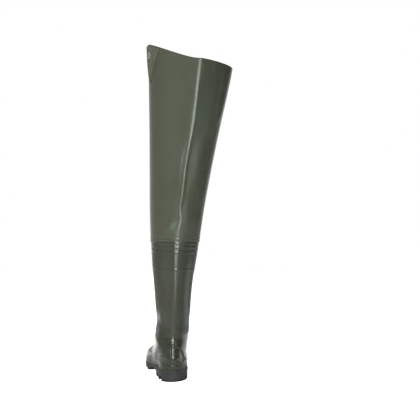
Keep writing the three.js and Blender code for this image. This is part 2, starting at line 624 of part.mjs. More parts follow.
function outsole() {
  const rim = SOLE_LIP + FOXING_STEP - 1;
  const high = 2 * HEEL_HEIGHT;
  const lip = planCut(soleOutline(rim), 0, high).intersect(between(edgeCurve(-SOLE_LIP_HEIGHT), edgeCurve(0)));
  const body = planCut(soleOutline(rim - SOLE_WALL_STEP), 0, high).intersect(
    between(treadCurve(LUG_HEIGHT), edgeCurve(-SOLE_LIP_HEIGHT / 2)),
  );
  const tread = planCut(soleOutline(rim - SOLE_WALL_STEP - LUG_INSET), 0, high).intersect(
    between(treadCurve(0), treadCurve(LUG_HEIGHT + 1)),
  );
  const [first, last] = [along(TREAD_START), along(0.99)];
  const pitch = (last - first) / LUG_COUNT;
  const bars = Array.from({ length: LUG_COUNT }, (_, i) =>
    planCut(lugOutline(first + (i + 0.5) * pitch, pitch * LUG_SHARE), -1, high),
  ).reduce((all, bar) => all.add(bar));
  const grooves = HEEL_GROOVE_BACKS.map((back) => {
    const [start, end] = [HEEL_BACK + back, HEEL_BACK + back + GROOVE_WIDTH];
    return sideCut([
      [start, -1],
      [end, -1],
      [end, GROOVE_DEPTH - 1],
      [end - 1, GROOVE_DEPTH],
      [start + 1, GROOVE_DEPTH],
      [start, GROOVE_DEPTH - 1],
    ]);
  });
  const forefootOnly = sideCut([
    [along(TREAD_START - 0.02), -1],
    [REACH, -1],
    [REACH, high],
    [along(TREAD_START - 0.02), high],
  ]);
  const lugs = tread.intersect(bars).intersect(forefootOnly);
  return grooves.reduce((sole, groove) => sole.subtract(groove), lip.add(body)).add(lugs);
}

function insole() {
  return planCut(soleOutline(-BOOT_WALL - 2 * GAP), 0, 3 * HEEL_HEIGHT).intersect(
    between(edgeCurve(GAP), edgeCurve(GAP + INSOLE_THICKNESS)),
  );
}

const moulded = new THREE.MeshStandardMaterial({ color: 0x4a4d3c, roughness: 0.22, metalness: 0 });
const soleRubber = new THREE.MeshStandardMaterial({ color: 0x474844, roughness: 0.5, metalness: 0 });
const sheet = new THREE.MeshStandardMaterial({ color: 0x545845, roughness: 0.36, metalness: 0 });
const lining = new THREE.MeshStandardMaterial({ color: 0x8a8678, roughness: 0.9, metalness: 0 });
const nickel = new THREE.MeshStandardMaterial({ color: 0x9a9284, roughness: 0.3, metalness: 1 });

const wader = new THREE.Group();
function add(name, solid, material) {
  const mesh = new THREE.Mesh(geometryOf(solid), material);
  mesh.name = name;
  wader.add(mesh);
}
add("outsole", outsole(), soleRubber);
add("insole", insole(), lining);
add("boot_upper", bootUpper(), moulded);
add("thigh_shaft", thighShaft(), sheet);
add("belt_patch", beltPatch(), sheet);
add("belt_eyelet", beltEyelet(), nickel);

export default wader;
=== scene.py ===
"""Dresses the left hip wader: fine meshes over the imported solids, their materials, a studio and a camera."""
import math

import bmesh
import bpy
import numpy as np
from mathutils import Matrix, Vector


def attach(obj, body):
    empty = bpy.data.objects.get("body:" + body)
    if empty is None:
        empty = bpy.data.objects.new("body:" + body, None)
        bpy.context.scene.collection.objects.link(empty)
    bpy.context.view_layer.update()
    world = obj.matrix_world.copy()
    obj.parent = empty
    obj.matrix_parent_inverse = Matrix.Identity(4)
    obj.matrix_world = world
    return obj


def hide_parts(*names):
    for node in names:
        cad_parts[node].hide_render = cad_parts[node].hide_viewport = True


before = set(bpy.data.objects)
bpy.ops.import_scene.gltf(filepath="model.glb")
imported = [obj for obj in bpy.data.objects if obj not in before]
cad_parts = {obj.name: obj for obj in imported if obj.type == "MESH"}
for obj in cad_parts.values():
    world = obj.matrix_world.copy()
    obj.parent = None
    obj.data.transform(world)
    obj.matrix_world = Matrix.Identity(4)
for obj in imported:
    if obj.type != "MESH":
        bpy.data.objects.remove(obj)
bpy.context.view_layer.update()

# Sizes are in millimetres, in the frame's own axes: +Z up, +Y to the toe, +X to the inner side of the leg.
# Meshes, lights and the camera are in metres.
MM = 0.001

# Foot and sole, as in the part
FOOT_LENGTH = 304
BALL_WIDTH = 114
HEEL_WIDTH = 76
HEEL_HEIGHT = 27
BALL_HEIGHT = 17.5
TOE_LIFT = 8
TOE_SPRING = 9
TOE_SWING = 11
ARCH_SWING = 6
HEEL_SWING = 5
HEEL_BACK = -54
HEEL_LENGTH = 92
ARCH_HEIGHT = 13
TREAD_START = 0.59
HEEL_GROOVES = (-20, 12)
GROOVE_WIDTH = 8
GROOVE_DEPTH = 6
LUG_HEIGHT = 5
LUG_INSET = 3.5
LUG_COUNT = 6
LUG_SWEEP = 9
LUG_SHARE = 0.62
SOLE_RIM = 2.7
SOLE_LIP_HEIGHT = 5
SOLE_WALL_STEP = 1

# Moulded upper, as in the part
BOOT_WALL = 2.5
TOE_HEIGHT = 55
INSTEP_HEIGHT = 97
ANKLE_HEIGHT = 130
ANKLE_WIDTH = 80
ANKLE_DEPTH = 112
ANKLE_CENTRE = 68
ANKLE_SHIFT = 6
BOOT_HEIGHT = 362
BOOT_TOP_WIDTH = 125
BOOT_TOP_DEPTH = 147
BOOT_TOP_CENTRE = 67
BOOT_TOP_SHIFT = 11.5
FOXING_HEIGHT = 11
FOXING_STEP = 1.1
RIB_HEIGHTS = (270, 312, 325, 335)
RIB_WIDTH = 4.5
COUNTER_FRONT = -20
SPUR_WIDTH = 8
SPUR_TOP = 88
LEDGE_WIDTH = 26
LEDGE_LOW = 52
LEDGE_TOP = 58
TOE_CAP_FOOT = 46
TOE_CAP_TOP = 138

# Thigh shaft, as in the part
SHAFT_WALL = 1
SHAFT_LOW = 339
SHAFT_TOP_WIDTH = 219
SHAFT_TOP_DEPTH = 206
SHAFT_TOP_CENTRE = 68
SHAFT_TOP_SHIFT = 51
COLLAR_LOW = 790
COLLAR_HIGH = 848
COLLAR_SAG = 1
COLLAR_RISE = (9, 94)
SHAFT_FOLD = 1.22
CREASE_SHIFT_LOW = -5
CREASE_SHIFT_HIGH = 9
WELD_HEIGHTS = (343, 352)
WELD_WIDTH = 3
WELD_STEP = 0.6
GAP = 0.3

# Belt patch and eyelet, as in the part
PATCH_TURN = 80
PATCH_DROP = 3
PATCH_HEIGHT = 98
PATCH_HALF_TURN = 22
PATCH_TIP_SHARE = 0.12
PATCH_WALL = 0.9
EYELET_DROP = 28
EYELET_HOLE = 5
EYELET_FLANGE = 9
EYELET_METAL = 0.9

# Fine meshes: columns round a piece, spacing of its rows where it is plain, and rows of its inside
BOOT_COLUMNS = 220
FOOT_ROW = 0.75
LEG_ROW = 1.7
BOOT_INSIDE_ROWS = 60
SHEET_COLUMNS = 236
SHEET_ROW = 2.3
SHEET_INSIDE_ROWS = 110
SOLE_HOOP = 1.1
SOLE_END_HOOPS = 150
SOLE_COLUMNS = 30
OUTLINE_POINTS = 7200
PATCH_COLUMNS = 121
PATCH_ROWS = 91
EYELET_COLUMNS = 64
EYELET_CROWN_ROWS = 17
# Closer rows round a line: how far they reach to either side of it, and their spacing
FOXING_ROWS = (1.6, 0.4)
RIB_ROWS = (3.2, 0.5)
WELD_ROWS = (3, 0.5)
# How much closer the columns stand at the back, as a share
BOOT_CROWDING = 0.45
SHEET_CROWDING = 0.3
# Times that points are averaged with their neighbours, up and down and then round
BOOT_AVERAGING = (30, 2)
SHEET_AVERAGING = (4, 1)
# Angles past which an edge is drawn sharp, in degrees, and how near points are welded
SHARP_ANGLE = 50
SOLE_SHARP_ANGLE = 40
WELD_DISTANCE = 0.02
# Where a face starts to look one way, and where it wholly does, by its normal's part that way
FACING = (0.2, 1)


def mix(low, high, share):
    return low + (high - low) * share


def smooth(value, low, high):
    share = np.clip((value - low) / (high - low), 0, 1)
    return share * share * (3 - 2 * share)


def bump(value, middle, width):
    """A soft hill of height 1, that is nearly flat beyond its width to either side."""
    return np.exp(-(((value - middle) / (0.6 * width)) ** 2))


def through(keys, values, at):
    """A smooth curve through the values at their keys."""
    keys = np.asarray(keys, float)
    values = np.asarray(values, float)
    slopes = np.diff(values) / np.diff(keys)
    tangents = np.concatenate([slopes[:1], (slopes[:-1] + slopes[1:]) / 2, slopes[-1:]])
    i = np.clip(np.searchsorted(keys, at) - 1, 0, len(keys) - 2)
    span = keys[i + 1] - keys[i]
    t = np.clip((at - keys[i]) / span, 0, 1)
    return (
        (2 * t**3 - 3 * t**2 + 1) * values[i]
        + (t**3 - 2 * t**2 + t) * span * tangents[i]
        + (3 * t**2 - 2 * t**3) * values[i + 1]
        + (t**3 - t**2) * span * tangents[i + 1]
    )


def table(names, rows):
    """Rows of numbers as named columns."""
    return dict(zip(names, np.array(rows, float).T))


# The top edge of the sole, by share of the foot's length
SOLE_EDGE = table(
    ("share", "height"),
    [
        (0, HEEL_HEIGHT),
        (0.32, HEEL_HEIGHT),
        (0.45, mix(BALL_HEIGHT, HEEL_HEIGHT, 0.62)),
        (0.6, mix(BALL_HEIGHT, HEEL_HEIGHT, 0.1)),
        (0.72, BALL_HEIGHT),
        (0.88, BALL_HEIGHT + 0.32 * TOE_LIFT),
        (1, BALL_HEIGHT + TOE_LIFT),
    ],
)


def sole_edge(y):
    return through(SOLE_EDGE["share"], SOLE_EDGE["height"], (y - HEEL_BACK) / FOOT_LENGTH)


def heel_rise(share):
    return mix(HEEL_HEIGHT, ANKLE_HEIGHT, share)


def vamp_rise(share):
    return mix(TOE_HEIGHT, INSTEP_HEIGHT, share)


# Rings of the foot, as the part has them
FOOT_RINGS = table(
    ("back", "rise", "front", "top", "heel", "waist", "ball", "back_round", "front_round", "hug", "swing"),
    [
        (0.009, HEEL_HEIGHT + GAP, 0.991, BALL_HEIGHT + TOE_LIFT + GAP, 0.92, 0.87, 0.945, 0.19, 0.25, 1, 1),
        (0.005, HEEL_HEIGHT + FOXING_HEIGHT, 0.994, BALL_HEIGHT + TOE_LIFT + FOXING_HEIGHT,
         0.94, 0.885, 0.95, 0.19, 0.25, 0.9, 1),
        (0.004, heel_rise(0.19), 0.985, 0.71 * TOE_HEIGHT, 0.94, 0.895, 0.935, 0.19, 0.26, 0.6, 0.95),
        (0.004, heel_rise(0.25), 0.958, 0.87 * TOE_HEIGHT, 0.94, 0.905, 0.895, 0.195, 0.29, 0.35, 0.85),
        (0.006, heel_rise(0.31), 0.905, TOE_HEIGHT, 0.94, 0.915, 0.8, 0.2, 0.34, 0.15, 0.7),
        (0.009, heel_rise(0.36), 0.833, vamp_rise(0.14), 0.945, 0.925, 0.73, 0.21, 0.4, 0, 0.5),
        (0.012, heel_rise(0.41), 0.742, vamp_rise(0.3), 0.955, 0.94, 0.69, 0.22, 0.45, 0, 0.33),
        (0.016, heel_rise(0.46), 0.655, vamp_rise(0.5), 0.965, 0.96, 0.67, 0.235, 0.48, 0, 0.2),
        (0.02, heel_rise(0.52), 0.573, vamp_rise(0.74), 0.98, 0.98, 0.67, 0.26, 0.49, 0, 0.1),
        (0.025, heel_rise(0.6), 0.505, vamp_rise(1), 0.995, 1, 0.68, 0.29, 0.49, 0, 0),
        (0.031, heel_rise(0.71), 0.455, INSTEP_HEIGHT + 0.14 * ANKLE_HEIGHT,
         1.015, 1.03, 0.7, 0.34, 0.49, 0, 0),
        (0.037, heel_rise(0.85), 0.427, INSTEP_HEIGHT + 0.27 * ANKLE_HEIGHT,
         1.045, 1.06, 0.735, 0.4, 0.5, 0, 0),
    ],
)
LEG_RINGS = table(
    ("up", "grow", "lean", "tilt"),
    [
        (0, 0, 0, 0.22),
        (0.15, 0.15, 0, 0.12),
        (0.31, 0.26, 0, 0.04),
        (0.5, 0.44, 0.08, 0),
        (0.69, 0.69, 0.38, 0),
        (0.86, 0.89, 0.74, 0),
        (1, 1, 1, 0),
    ],
)
SHAFT_RINGS = table(
    ("up", "grow", "deep", "fold", "lean"),
    [
        (0, 0, 0, 0, 0),
        (0.15, 0.13, 0.16, 0.22, 0.1),
        (0.35, 0.31, 0.38, 0.6, 0.29),
        (0.6, 0.56, 0.64, 0.85, 0.55),
        (0.85, 0.845, 0.88, 1, 0.83),
        (1, 1, 1, 1, 0.98),
        (1.12, 1.09, 1.04, 1, 1.02),
    ],
)


def all_rings():
    """Foot and leg rings in millimetres, ordered by their height at the back of the leg."""
    foot, leg = FOOT_RINGS, LEG_RINGS
    rise = mix(ANKLE_HEIGHT, BOOT_HEIGHT, leg["up"])
    half = mix(ANKLE_WIDTH, BOOT_TOP_WIDTH, leg["grow"]) / 2
    depth = mix(ANKLE_DEPTH, BOOT_TOP_DEPTH, leg["grow"])
    centre = HEEL_BACK + mix(ANKLE_CENTRE, BOOT_TOP_CENTRE, leg["up"])
    none = np.zeros(len(rise))
    rings = {
        "rise": (foot["rise"], rise),
        "top": (foot["top"], rise + leg["tilt"] * ANKLE_DEPTH),
        "back": (HEEL_BACK + foot["back"] * FOOT_LENGTH, centre - depth / 2),
        "front": (HEEL_BACK + foot["front"] * FOOT_LENGTH, centre + depth / 2),
        "heel": (foot["heel"] * HEEL_WIDTH / 2, half),
        "waist": (foot["waist"] * HEEL_WIDTH / 2, half),
        "ball": (foot["ball"] * BALL_WIDTH / 2, half),
        "back_round": (foot["back_round"], mix(0.45, 0.5, smooth(leg["up"], 0, 0.3))),
        "front_round": (foot["front_round"], none + 0.5),
        "hug": (foot["hug"], none),
        "swing": (foot["swing"], none),
        "shift": (
            ANKLE_SHIFT * smooth(foot["rise"], heel_rise(0.2), ANKLE_HEIGHT),
            mix(ANKLE_SHIFT, BOOT_TOP_SHIFT, leg["lean"]),
        ),
    }
    return {name: np.concatenate(parts) for name, parts in rings.items()}


RINGS = all_rings()


def ring_at(rise):
    return {name: through(RINGS["rise"], RINGS[name], rise) for name in RINGS}


ROUNDNESS = 2.15


def round_end(share, power):
    return (1 - (1 - np.clip(share, 0, 1)) ** power) ** (1 / power)


def ring_plan(ring, u):
    """Half width and middle of a ring at share u of its length, from back to front."""
    power = np.where(
        ring["front_round"] >= 0.5, 2, mix(ROUNDNESS, 2, smooth(ring["front_round"], 0.3, 0.5))
    )
    rear = mix(ring["heel"], ring["waist"], smooth(u, 0.14, 0.42))
    fore = mix(ring["waist"], ring["ball"], smooth(u, 0.42, 0.74))
    side = np.where(u < 0.42, rear, fore)
    toe = TOE_SWING * smooth(u, 0.55, 1)
    arch = ARCH_SWING * smooth(u, 0.22, 0.48) * (1 - smooth(u, 0.58, 0.85))
    heel = HEEL_SWING * smooth(u, 0, 0.16) * (1 - smooth(u, 0.2, 0.4))
    half = side * round_end(u / ring["back_round"], power) * round_end((1 - u) / ring["front_round"], power)
    return half, ring["shift"] + ring["swing"] * (toe - arch + heel)


def boot_point(rise, turn):
    """Points of the upper's plain outer face: rise picks the ring, and turn goes round it from the back."""
    ring = ring_at(rise)
    u = (1 - np.cos(turn)) / 2
    half, middle = ring_plan(ring, u)
    y = mix(ring["back"], ring["front"], u)
    sag = sole_edge(y) - mix(sole_edge(ring["back"]), sole_edge(ring["front"]), u)
    z = mix(ring["rise"], ring["top"], u) + ring["hug"] * sag
    return np.stack([middle + np.sign(np.sin(turn)) * half, y, z], axis=-1)


def collar_height(turn):
    from_crease = np.degrees(np.arccos(np.abs(np.cos(turn))))
    inner = COLLAR_LOW - COLLAR_SAG * np.sin(2 * np.radians(from_crease))
    outer = mix(COLLAR_LOW, COLLAR_HIGH, smooth(from_crease, *COLLAR_RISE))
    return np.where(np.sin(turn) > 0, inner, outer)


def up_shaft(height):
    """How far a height lies up the shaft, as a share of its length over the boot."""
    return np.maximum(0, (height - BOOT_HEIGHT) / (COLLAR_LOW - BOOT_HEIGHT))


def shaft_point(height, turn):
    """Points of the sheet's inner face. Its section at the boot's top is the boot's, one gap outside it."""
    boot = ring_at(np.minimum(height, BOOT_HEIGHT))
    up = up_shaft(height)
    grow, deep, fold, lean = [
        through(SHAFT_RINGS["up"], SHAFT_RINGS[name], up) for name in ("grow", "deep", "fold", "lean")
    ]
    half = mix(boot["waist"] + GAP, SHAFT_TOP_WIDTH / 2 - SHAFT_WALL, grow)
    depth = mix((boot["front"] - boot["back"]) / 2 + GAP, SHAFT_TOP_DEPTH / 2 - SHAFT_WALL, deep)
    middle = mix(boot["shift"], SHAFT_TOP_SHIFT, lean)
    centre = mix((boot["front"] + boot["back"]) / 2, HEEL_BACK + SHAFT_TOP_CENTRE, up)
    power = mix(2, SHAFT_FOLD, fold)
    sine, cosine = np.sin(turn), np.cos(turn)
    crease = mix(CREASE_SHIFT_LOW, CREASE_SHIFT_HIGH, fold) * smooth(fold, 0, 0.3)
    crease = crease * np.maximum(0, cosine) ** 3
    x = middle + crease + half * np.sign(sine) * np.abs(sine) ** (2 / power)
    y = centre - depth * cosine
    return np.stack([x, y, height + 0 * turn], axis=-1)


def face_normals(grid):
    """Outward unit normals of a grid of points, whose rows go up and whose columns go round."""
    up = np.gradient(grid, axis=0)
    around = np.roll(grid, -1, axis=1) - np.roll(grid, 1, axis=1)
    normal = np.cross(around, up)
    return normal / np.linalg.norm(normal, axis=-1, keepdims=True)


def relaxed(grid, along, across):
    """The grid with its points averaged so many times with their neighbours, up and down, then round."""
    for _ in range(along):
        grid[1:-1] = (grid[:-2] + 2 * grid[1:-1] + grid[2:]) / 4
    for _ in range(across):
        grid = (np.roll(grid, 1, axis=1) + 2 * grid + np.roll(grid, -1, axis=1)) / 4
    return grid


def cells(numbers):
    """Four-cornered faces between the neighbours in a grid of point numbers."""
    corners = [numbers[:-1, :-1], numbers[:-1, 1:], numbers[1:, 1:], numbers[1:, :-1]]
    return np.stack(corners, axis=-1).reshape(-1, 4)


def ring_piece(name, rows, materials, finish, left=None):
    """A piece from closed rows, the last joined to the first. finish names each row's material, and left
    says which faces stay.
    """
    points = rows.reshape(-1, 3)
    numbers = np.arange(len(points)).reshape(rows.shape[:2])
    faces = cells(np.pad(numbers, ((0, 1), (0, 1)), mode="wrap"))
    picks = np.repeat([list(materials).index(row) for row in finish], rows.shape[1])
    stay = left(points, faces) if left else slice(None)
    return piece(name, points, faces[stay], list(materials.values()), picks[stay])


def placed(name, data):
    """A new object in the scene."""
    obj = bpy.data.objects.new(name, data)
    bpy.context.scene.collection.objects.link(obj)
    return obj


def piece(name, points, faces, materials, picks):
    """A piece that rides on the root body, from points in millimetres. picks numbers each face's material."""
    mesh = bpy.data.meshes.new(name)
    mesh.from_pydata((np.asarray(points) * MM).tolist(), [], np.asarray(faces).tolist())
    for material in materials:
        mesh.materials.append(material)
    mesh.polygons.foreach_set("material_index", np.asarray(picks, np.int32))
    mesh.polygons.foreach_set("use_smooth", [True] * len(mesh.polygons))
    mesh.set_sharp_from_angle(angle=math.radians(SHARP_ANGLE))
    mesh.update()
    obj = placed(name, mesh)
    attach(obj, "root")
    return obj


def turns(count, thinner):
    """Columns round a section, packed closer at the back crease by the given share."""
    steps = 2 * np.pi * np.arange(count) / count
    return steps - thinner * np.sin(steps)


def rows_between(low, high, spacing, fine, reach, fine_spacing):
    """Heights from low to high, closer together within reach of each fine height."""
    coarse = np.arange(low, high, spacing)
    for middle in fine:
        coarse = coarse[np.abs(coarse - middle) > reach]
    close = [middle + np.arange(-reach, reach + 0.01, fine_spacing) for middle in fine]
    rows = np.sort(np.concatenate([coarse, *close, [high]]))
    return rows[(rows >= low) & (rows <= high)]


def some_rows(total, count):
    """So many of the rows, evenly spread, from the top one down."""
    return np.unique(np.linspace(total - 1, 0, count).round().astype(int))[::-1]


def bead(value, middle, width):
    """A rounded bead of height 1 across its width."""
    return np.cos(np.clip((value - middle) / (width / 2), -1, 1) * np.pi / 2) ** 2


# The heel counter, seen from behind: heights of its lines by place across the heel. A raised band runs
# between the upper and the lower line, and a sunk panel between the lower line and the bottom one.
COUNTER = table(
    ("x", "upper", "lower", "bottom"),
    [
        (-60, 33, 22, 62),
        (-34, 59, 50, 53),
        (-28, 66, 56, 45),
        (-20, 74.5, 63.5, 41),
        (-12, 83, 71, 41),
        (-6, 89, 77, 48),
        (-2, 93, 81, 53),
        (10, 94, 83, 53),
        (18, 90, 80, 49),
        (26, 80, 68, 46),
        (33, 68, 50, 50),
        (60, 30, 5, 60),
    ],
)
BAND_STEP = 0.6
PANEL_DEPTH = 2.1
# How the counter fades ahead, and the band and the panel at their upper and lower edges
COUNTER_FADE = 4
BAND_FADES = ((-0.6, 0.9), (-0.5, 0.5))
PANEL_FADES = ((-0.3, 2.5), (-0.4, 1.1))
# The spur's place across the heel, its heights at top and foot, and how it leans to the inner side
SPUR_AT = 1
SPUR_STEP = (0.7, 4.4)
SPUR_LEAN = 0.08
SPUR_ROUND = 2.2
# The ledge under the spur: its height, its shift to the inner side and its ends' length
LEDGE_STEP = 1.5
LEDGE_SHIFT = 2
LEDGE_ENDS = 5
FOXING_TOP = HEEL_HEIGHT + FOXING_HEIGHT
RIB_STEP = 0.35
# How far the toe cap's edge fades to either side
CAP_FADE = 2.4
# The middle of the leg's back lies toward the outer side, low down: how far, and between which heights
BACK_SHIFT = 3.5
BACK_SHIFT_START = (30, 70)
BACK_SHIFT_END = (130, 260)
# The hollow over the heel and the swell of the ankle's outer side: depth, height and reach
HEEL_HOLLOW = (2.4, 99, 24)
OUTER_SWELL = (3.5, 95, 40)


def toe_cap_edge(z):
    """The toe cap's edge seen from the side, as a place along the foot by height."""
    t = np.linspace(0, 1, 40)
    foot = (TOE_CAP_FOOT, sole_edge(TOE_CAP_FOOT))
    top = (mix(TOE_CAP_FOOT, TOE_CAP_TOP, 0.72), TOE_HEIGHT)
    low_bend = (mix(TOE_CAP_FOOT, TOE_CAP_TOP, 0.2), 0.75 * TOE_HEIGHT)
    high_bend, end = (TOE_CAP_TOP, 1.15 * TOE_HEIGHT), (TOE_CAP_TOP, 2 * TOE_HEIGHT)

    def arc(a, b, c, axis):
        return (1 - t) ** 2 * a[axis] + 2 * t * (1 - t) * b[axis] + t**2 * c[axis]

    ys = np.concatenate([arc(foot, low_bend, top, 0), arc(top, high_bend, end, 0)])
    zs = np.concatenate([arc(foot, low_bend, top, 1), arc(top, high_bend, end, 1)])
    return np.interp(z, zs, ys)


def above_line(x, z, name):
    """How far a point lies above one of the counter's lines, measured straight across the line."""
    line = through(COUNTER["x"], COUNTER[name], x)
    slope = through(COUNTER["x"], COUNTER[name], x + 1) - through(COUNTER["x"], COUNTER[name], x - 1)
    return (z - line) / np.hypot(1, slope / 2)


def counter_relief(x, y, z):
    """The heel counter's band, panel, spur and ledge."""
    behind = smooth(-y, -COUNTER_FRONT - COUNTER_FADE, -COUNTER_FRONT + COUNTER_FADE)
    upper, lower, bottom = [above_line(x, z, name) for name in ("upper", "lower", "bottom")]
    band = smooth(-upper, *BAND_FADES[0]) * smooth(lower, *BAND_FADES[1])
    panel = smooth(-lower, *PANEL_FADES[0]) * smooth(bottom, *PANEL_FADES[1])
    up_spur = np.clip((z - LEDGE_LOW) / (SPUR_TOP - LEDGE_LOW), 0, 1)
    spur_height = mix(SPUR_STEP[1], SPUR_STEP[0], up_spur) * smooth(SPUR_TOP + 4 - z, 0, 6)
    spur_sides = smooth(SPUR_WIDTH / 2 + 0.5 - np.abs(x - SPUR_AT), 0, SPUR_ROUND)
    spur = (spur_height + SPUR_LEAN * (x - SPUR_AT)) * spur_sides * smooth(z, LEDGE_LOW - 1, LEDGE_LOW + 4)
    ledge_ends = smooth(LEDGE_WIDTH / 2 - np.abs(x - SPUR_AT - LEDGE_SHIFT), 0, LEDGE_ENDS)
    ledge = LEDGE_STEP * bead(z, (LEDGE_LOW + LEDGE_TOP) / 2 - 1, LEDGE_TOP - LEDGE_LOW + 1) * ledge_ends
    return (BAND_STEP * band - PANEL_DEPTH * panel + np.maximum(spur, ledge)) * behind


def boot_relief(grid, rise):
    """How far the moulded details stand out of the upper's plain face."""
    x, y, z = grid[..., 0], grid[..., 1], grid[..., 2]
    foxing = FOXING_STEP * (1 - smooth(rise, FOXING_TOP - 0.5, FOXING_TOP + 0.8))
    ribs = sum(RIB_STEP * bump(rise, height, RIB_WIDTH / 2) for height in RIB_HEIGHTS)
    cap_lean = np.hypot(1, (toe_cap_edge(z + 1) - toe_cap_edge(z - 1)) / 2)
    past_cap = (y - toe_cap_edge(z)) / cap_lean
    cap = smooth(past_cap, -CAP_FADE, CAP_FADE) * (y > 0) * smooth(rise, FOXING_TOP, FOXING_TOP + 2)
    return np.maximum(foxing, cap) + ribs + counter_relief(x, y, z)


def heel_line(grid):
    """The upper with its back shifted, its heel hollowed and its ankle swollen on the outer side."""
    z = grid[..., 2]
    shift = BACK_SHIFT * (1 - smooth(z, *BACK_SHIFT_END)) * smooth(z, *BACK_SHIFT_START)
    toward_back = smooth(-face_normals(grid)[..., 1], *FACING)
    grid[..., 0] -= shift * toward_back
    grid[..., 1] += HEEL_HOLLOW[0] * bump(z, *HEEL_HOLLOW[1:]) * toward_back
    outer_side = smooth(-face_normals(grid)[..., 0], *FACING)
    grid[..., 0] -= OUTER_SWELL[0] * bump(z, *OUTER_SWELL[1:]) * outer_side
    return grid


def boot_upper(materials):
    """The moulded boot, with its details as relief and its lining inside."""
    round_the_leg = turns(BOOT_COLUMNS, BOOT_CROWDING)
    foot = rows_between(RINGS["rise"][0], ANKLE_HEIGHT, FOOT_ROW, (FOXING_TOP,), *FOXING_ROWS)
    leg = rows_between(ANKLE_HEIGHT, BOOT_HEIGHT, LEG_ROW, RIB_HEIGHTS, *RIB_ROWS)
    rises = np.concatenate([foot[:-1], leg])
    plain = heel_line(relaxed(boot_point(rises[:, None], round_the_leg[None, :]), *BOOT_AVERAGING))
    normals = face_normals(plain)
    outside = plain + normals * boot_relief(plain, rises[:, None])[..., None]
    outside[0, :, 2] = sole_edge(outside[0, :, 1]) + GAP
    outside[-1, :, 2] = BOOT_HEIGHT
    chosen = some_rows(len(rises), BOOT_INSIDE_ROWS)
    inside = (plain - BOOT_WALL * normals)[chosen]
    inside[0, :, 2] = BOOT_HEIGHT
    inside[-1, :, 2] = sole_edge(inside[-1, :, 1]) + GAP
    finish = ["gloss"] * (len(rises) - 1) + ["lining"] * (len(chosen) + 1)
    obj = ring_piece("moulded_boot", np.concatenate([outside, inside]), materials, finish)
    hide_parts("boot_upper")


# The back crease, seen from behind: its place across the leg by height
CREASE = table(
    ("z", "x"),
    [
        (339, 8.5), (343, 9), (363, 11.5), (378, 15), (392, 18.5), (405, 17), (419, 15.5),
        (451, 20.3), (531, 29.4), (632, 47), (750, 59.6), (790, 64), (850, 69),
    ],
)
# How far the crease is rounded off, and the heights over the boot where that starts
CREASE_FLAT = 1
CREASE_FLAT_START = (10, 60)
# Heights over the boot where hollows start, and where the inside shows the relief
HOLLOWS_FROM = (1, 12)
INSIDE_FROM = 4
# How far a fold fades to either side of its ends, as a share of its length
FOLD_FADE = 0.3
# Folds of the sheet: points as height and way round from the back crease, plus on the inner side. Then
# the half width, and the height, which is minus for a trough.
FOLDS = (
    (((385, 0), (420, 0), (500, 0), (585, 0)), 10, 1.9),
    (((480, 34), (519, 36), (557, 35), (596, 41), (628, 56), (660, 84)), 27, 3.8),
    (((600, 60), (700, 66), (795, 70)), 20, -1),
    (((640, 95), (720, 104), (795, 112)), 16, 0.9),
)
# The hollow on the crease's inner side: its depth, the ways round where it is deepest and where it ends,
# and the heights where it starts and ends
HOLLOW_DEPTH = 1.7
HOLLOW_WAYS = (9, 50)
HOLLOW_START = (410, 450)
HOLLOW_END = (680, 760)
# Round bulges: height and way round from the crease, half sizes up and round, and how far they stand out
BULGES = (
    (376, -31, 30, 23, 4.1),
    (540, -16, 75, 13, 1.9),
)


def way_round(grid):
    """Each point's way from the back crease along its row, plus on the inner side."""
    steps = np.linalg.norm(np.roll(grid, -1, axis=1) - grid, axis=-1)
    ahead = np.cumsum(steps, axis=1) - steps
    whole = steps.sum(axis=1, keepdims=True)
    return np.where(ahead < whole / 2, ahead, ahead - whole)


def sheet_relief(grid, height):
    """How far welds, folds and bulges stand out of the sheet's plain face."""
    z = grid[..., 2]
    way = way_round(grid)
    lift = sum(WELD_STEP * bead(height, weld, WELD_WIDTH) for weld in WELD_HEIGHTS) + 0 * way
    for points, width, step in FOLDS:
        heights, ways = np.array(points, float).T
        ends = FOLD_FADE * (heights[-1] - heights[0])
        starts = smooth(z, heights[0] - ends, heights[0] + ends)
        stops = 1 - smooth(z, heights[-1] - ends, heights[-1] + ends)
        lift += step * starts * stops * bump(way, through(heights, ways, z), width)
    hollow = smooth(way, 1, HOLLOW_WAYS[0]) - smooth(way, *HOLLOW_WAYS)
    lift -= HOLLOW_DEPTH * hollow * smooth(z, *HOLLOW_START) * (1 - smooth(z, *HOLLOW_END))
    for at_height, at_way, half_height, half_way, step in BULGES:
        lift += step * bump(z, at_height, half_height) * bump(way, at_way, half_way)
    return np.where(lift < 0, lift * smooth(z - BOOT_HEIGHT, *HOLLOWS_FROM), lift)


def sheet_surface(height, turn):
    """The sheet's inner face, with its back crease brought to its own line and flattened a little."""
    grid = shaft_point(height, turn)
    at_crease = shaft_point(height, 0 * turn)
    up = up_shaft(height)
    power = mix(2, SHAFT_FOLD, through(SHAFT_RINGS["up"], SHAFT_RINGS["fold"], up))
    behind = np.cos(turn) > 0
    nearness = np.where(behind, 1 - np.abs(np.sin(turn)) ** (2 / power), 0)
    grid[..., 0] += (through(CREASE["z"], CREASE["x"], height) - at_crease[..., 0]) * nearness
    depth = grid[..., 1] - at_crease[..., 1]
    flat = CREASE_FLAT * smooth(height - BOOT_HEIGHT, *CREASE_FLAT_START)
    cut = (np.maximum(depth, 0) ** 3 + flat**3) ** (1 / 3)
    grid[..., 1] = np.where(behind, at_crease[..., 1] + cut, grid[..., 1])
    return grid


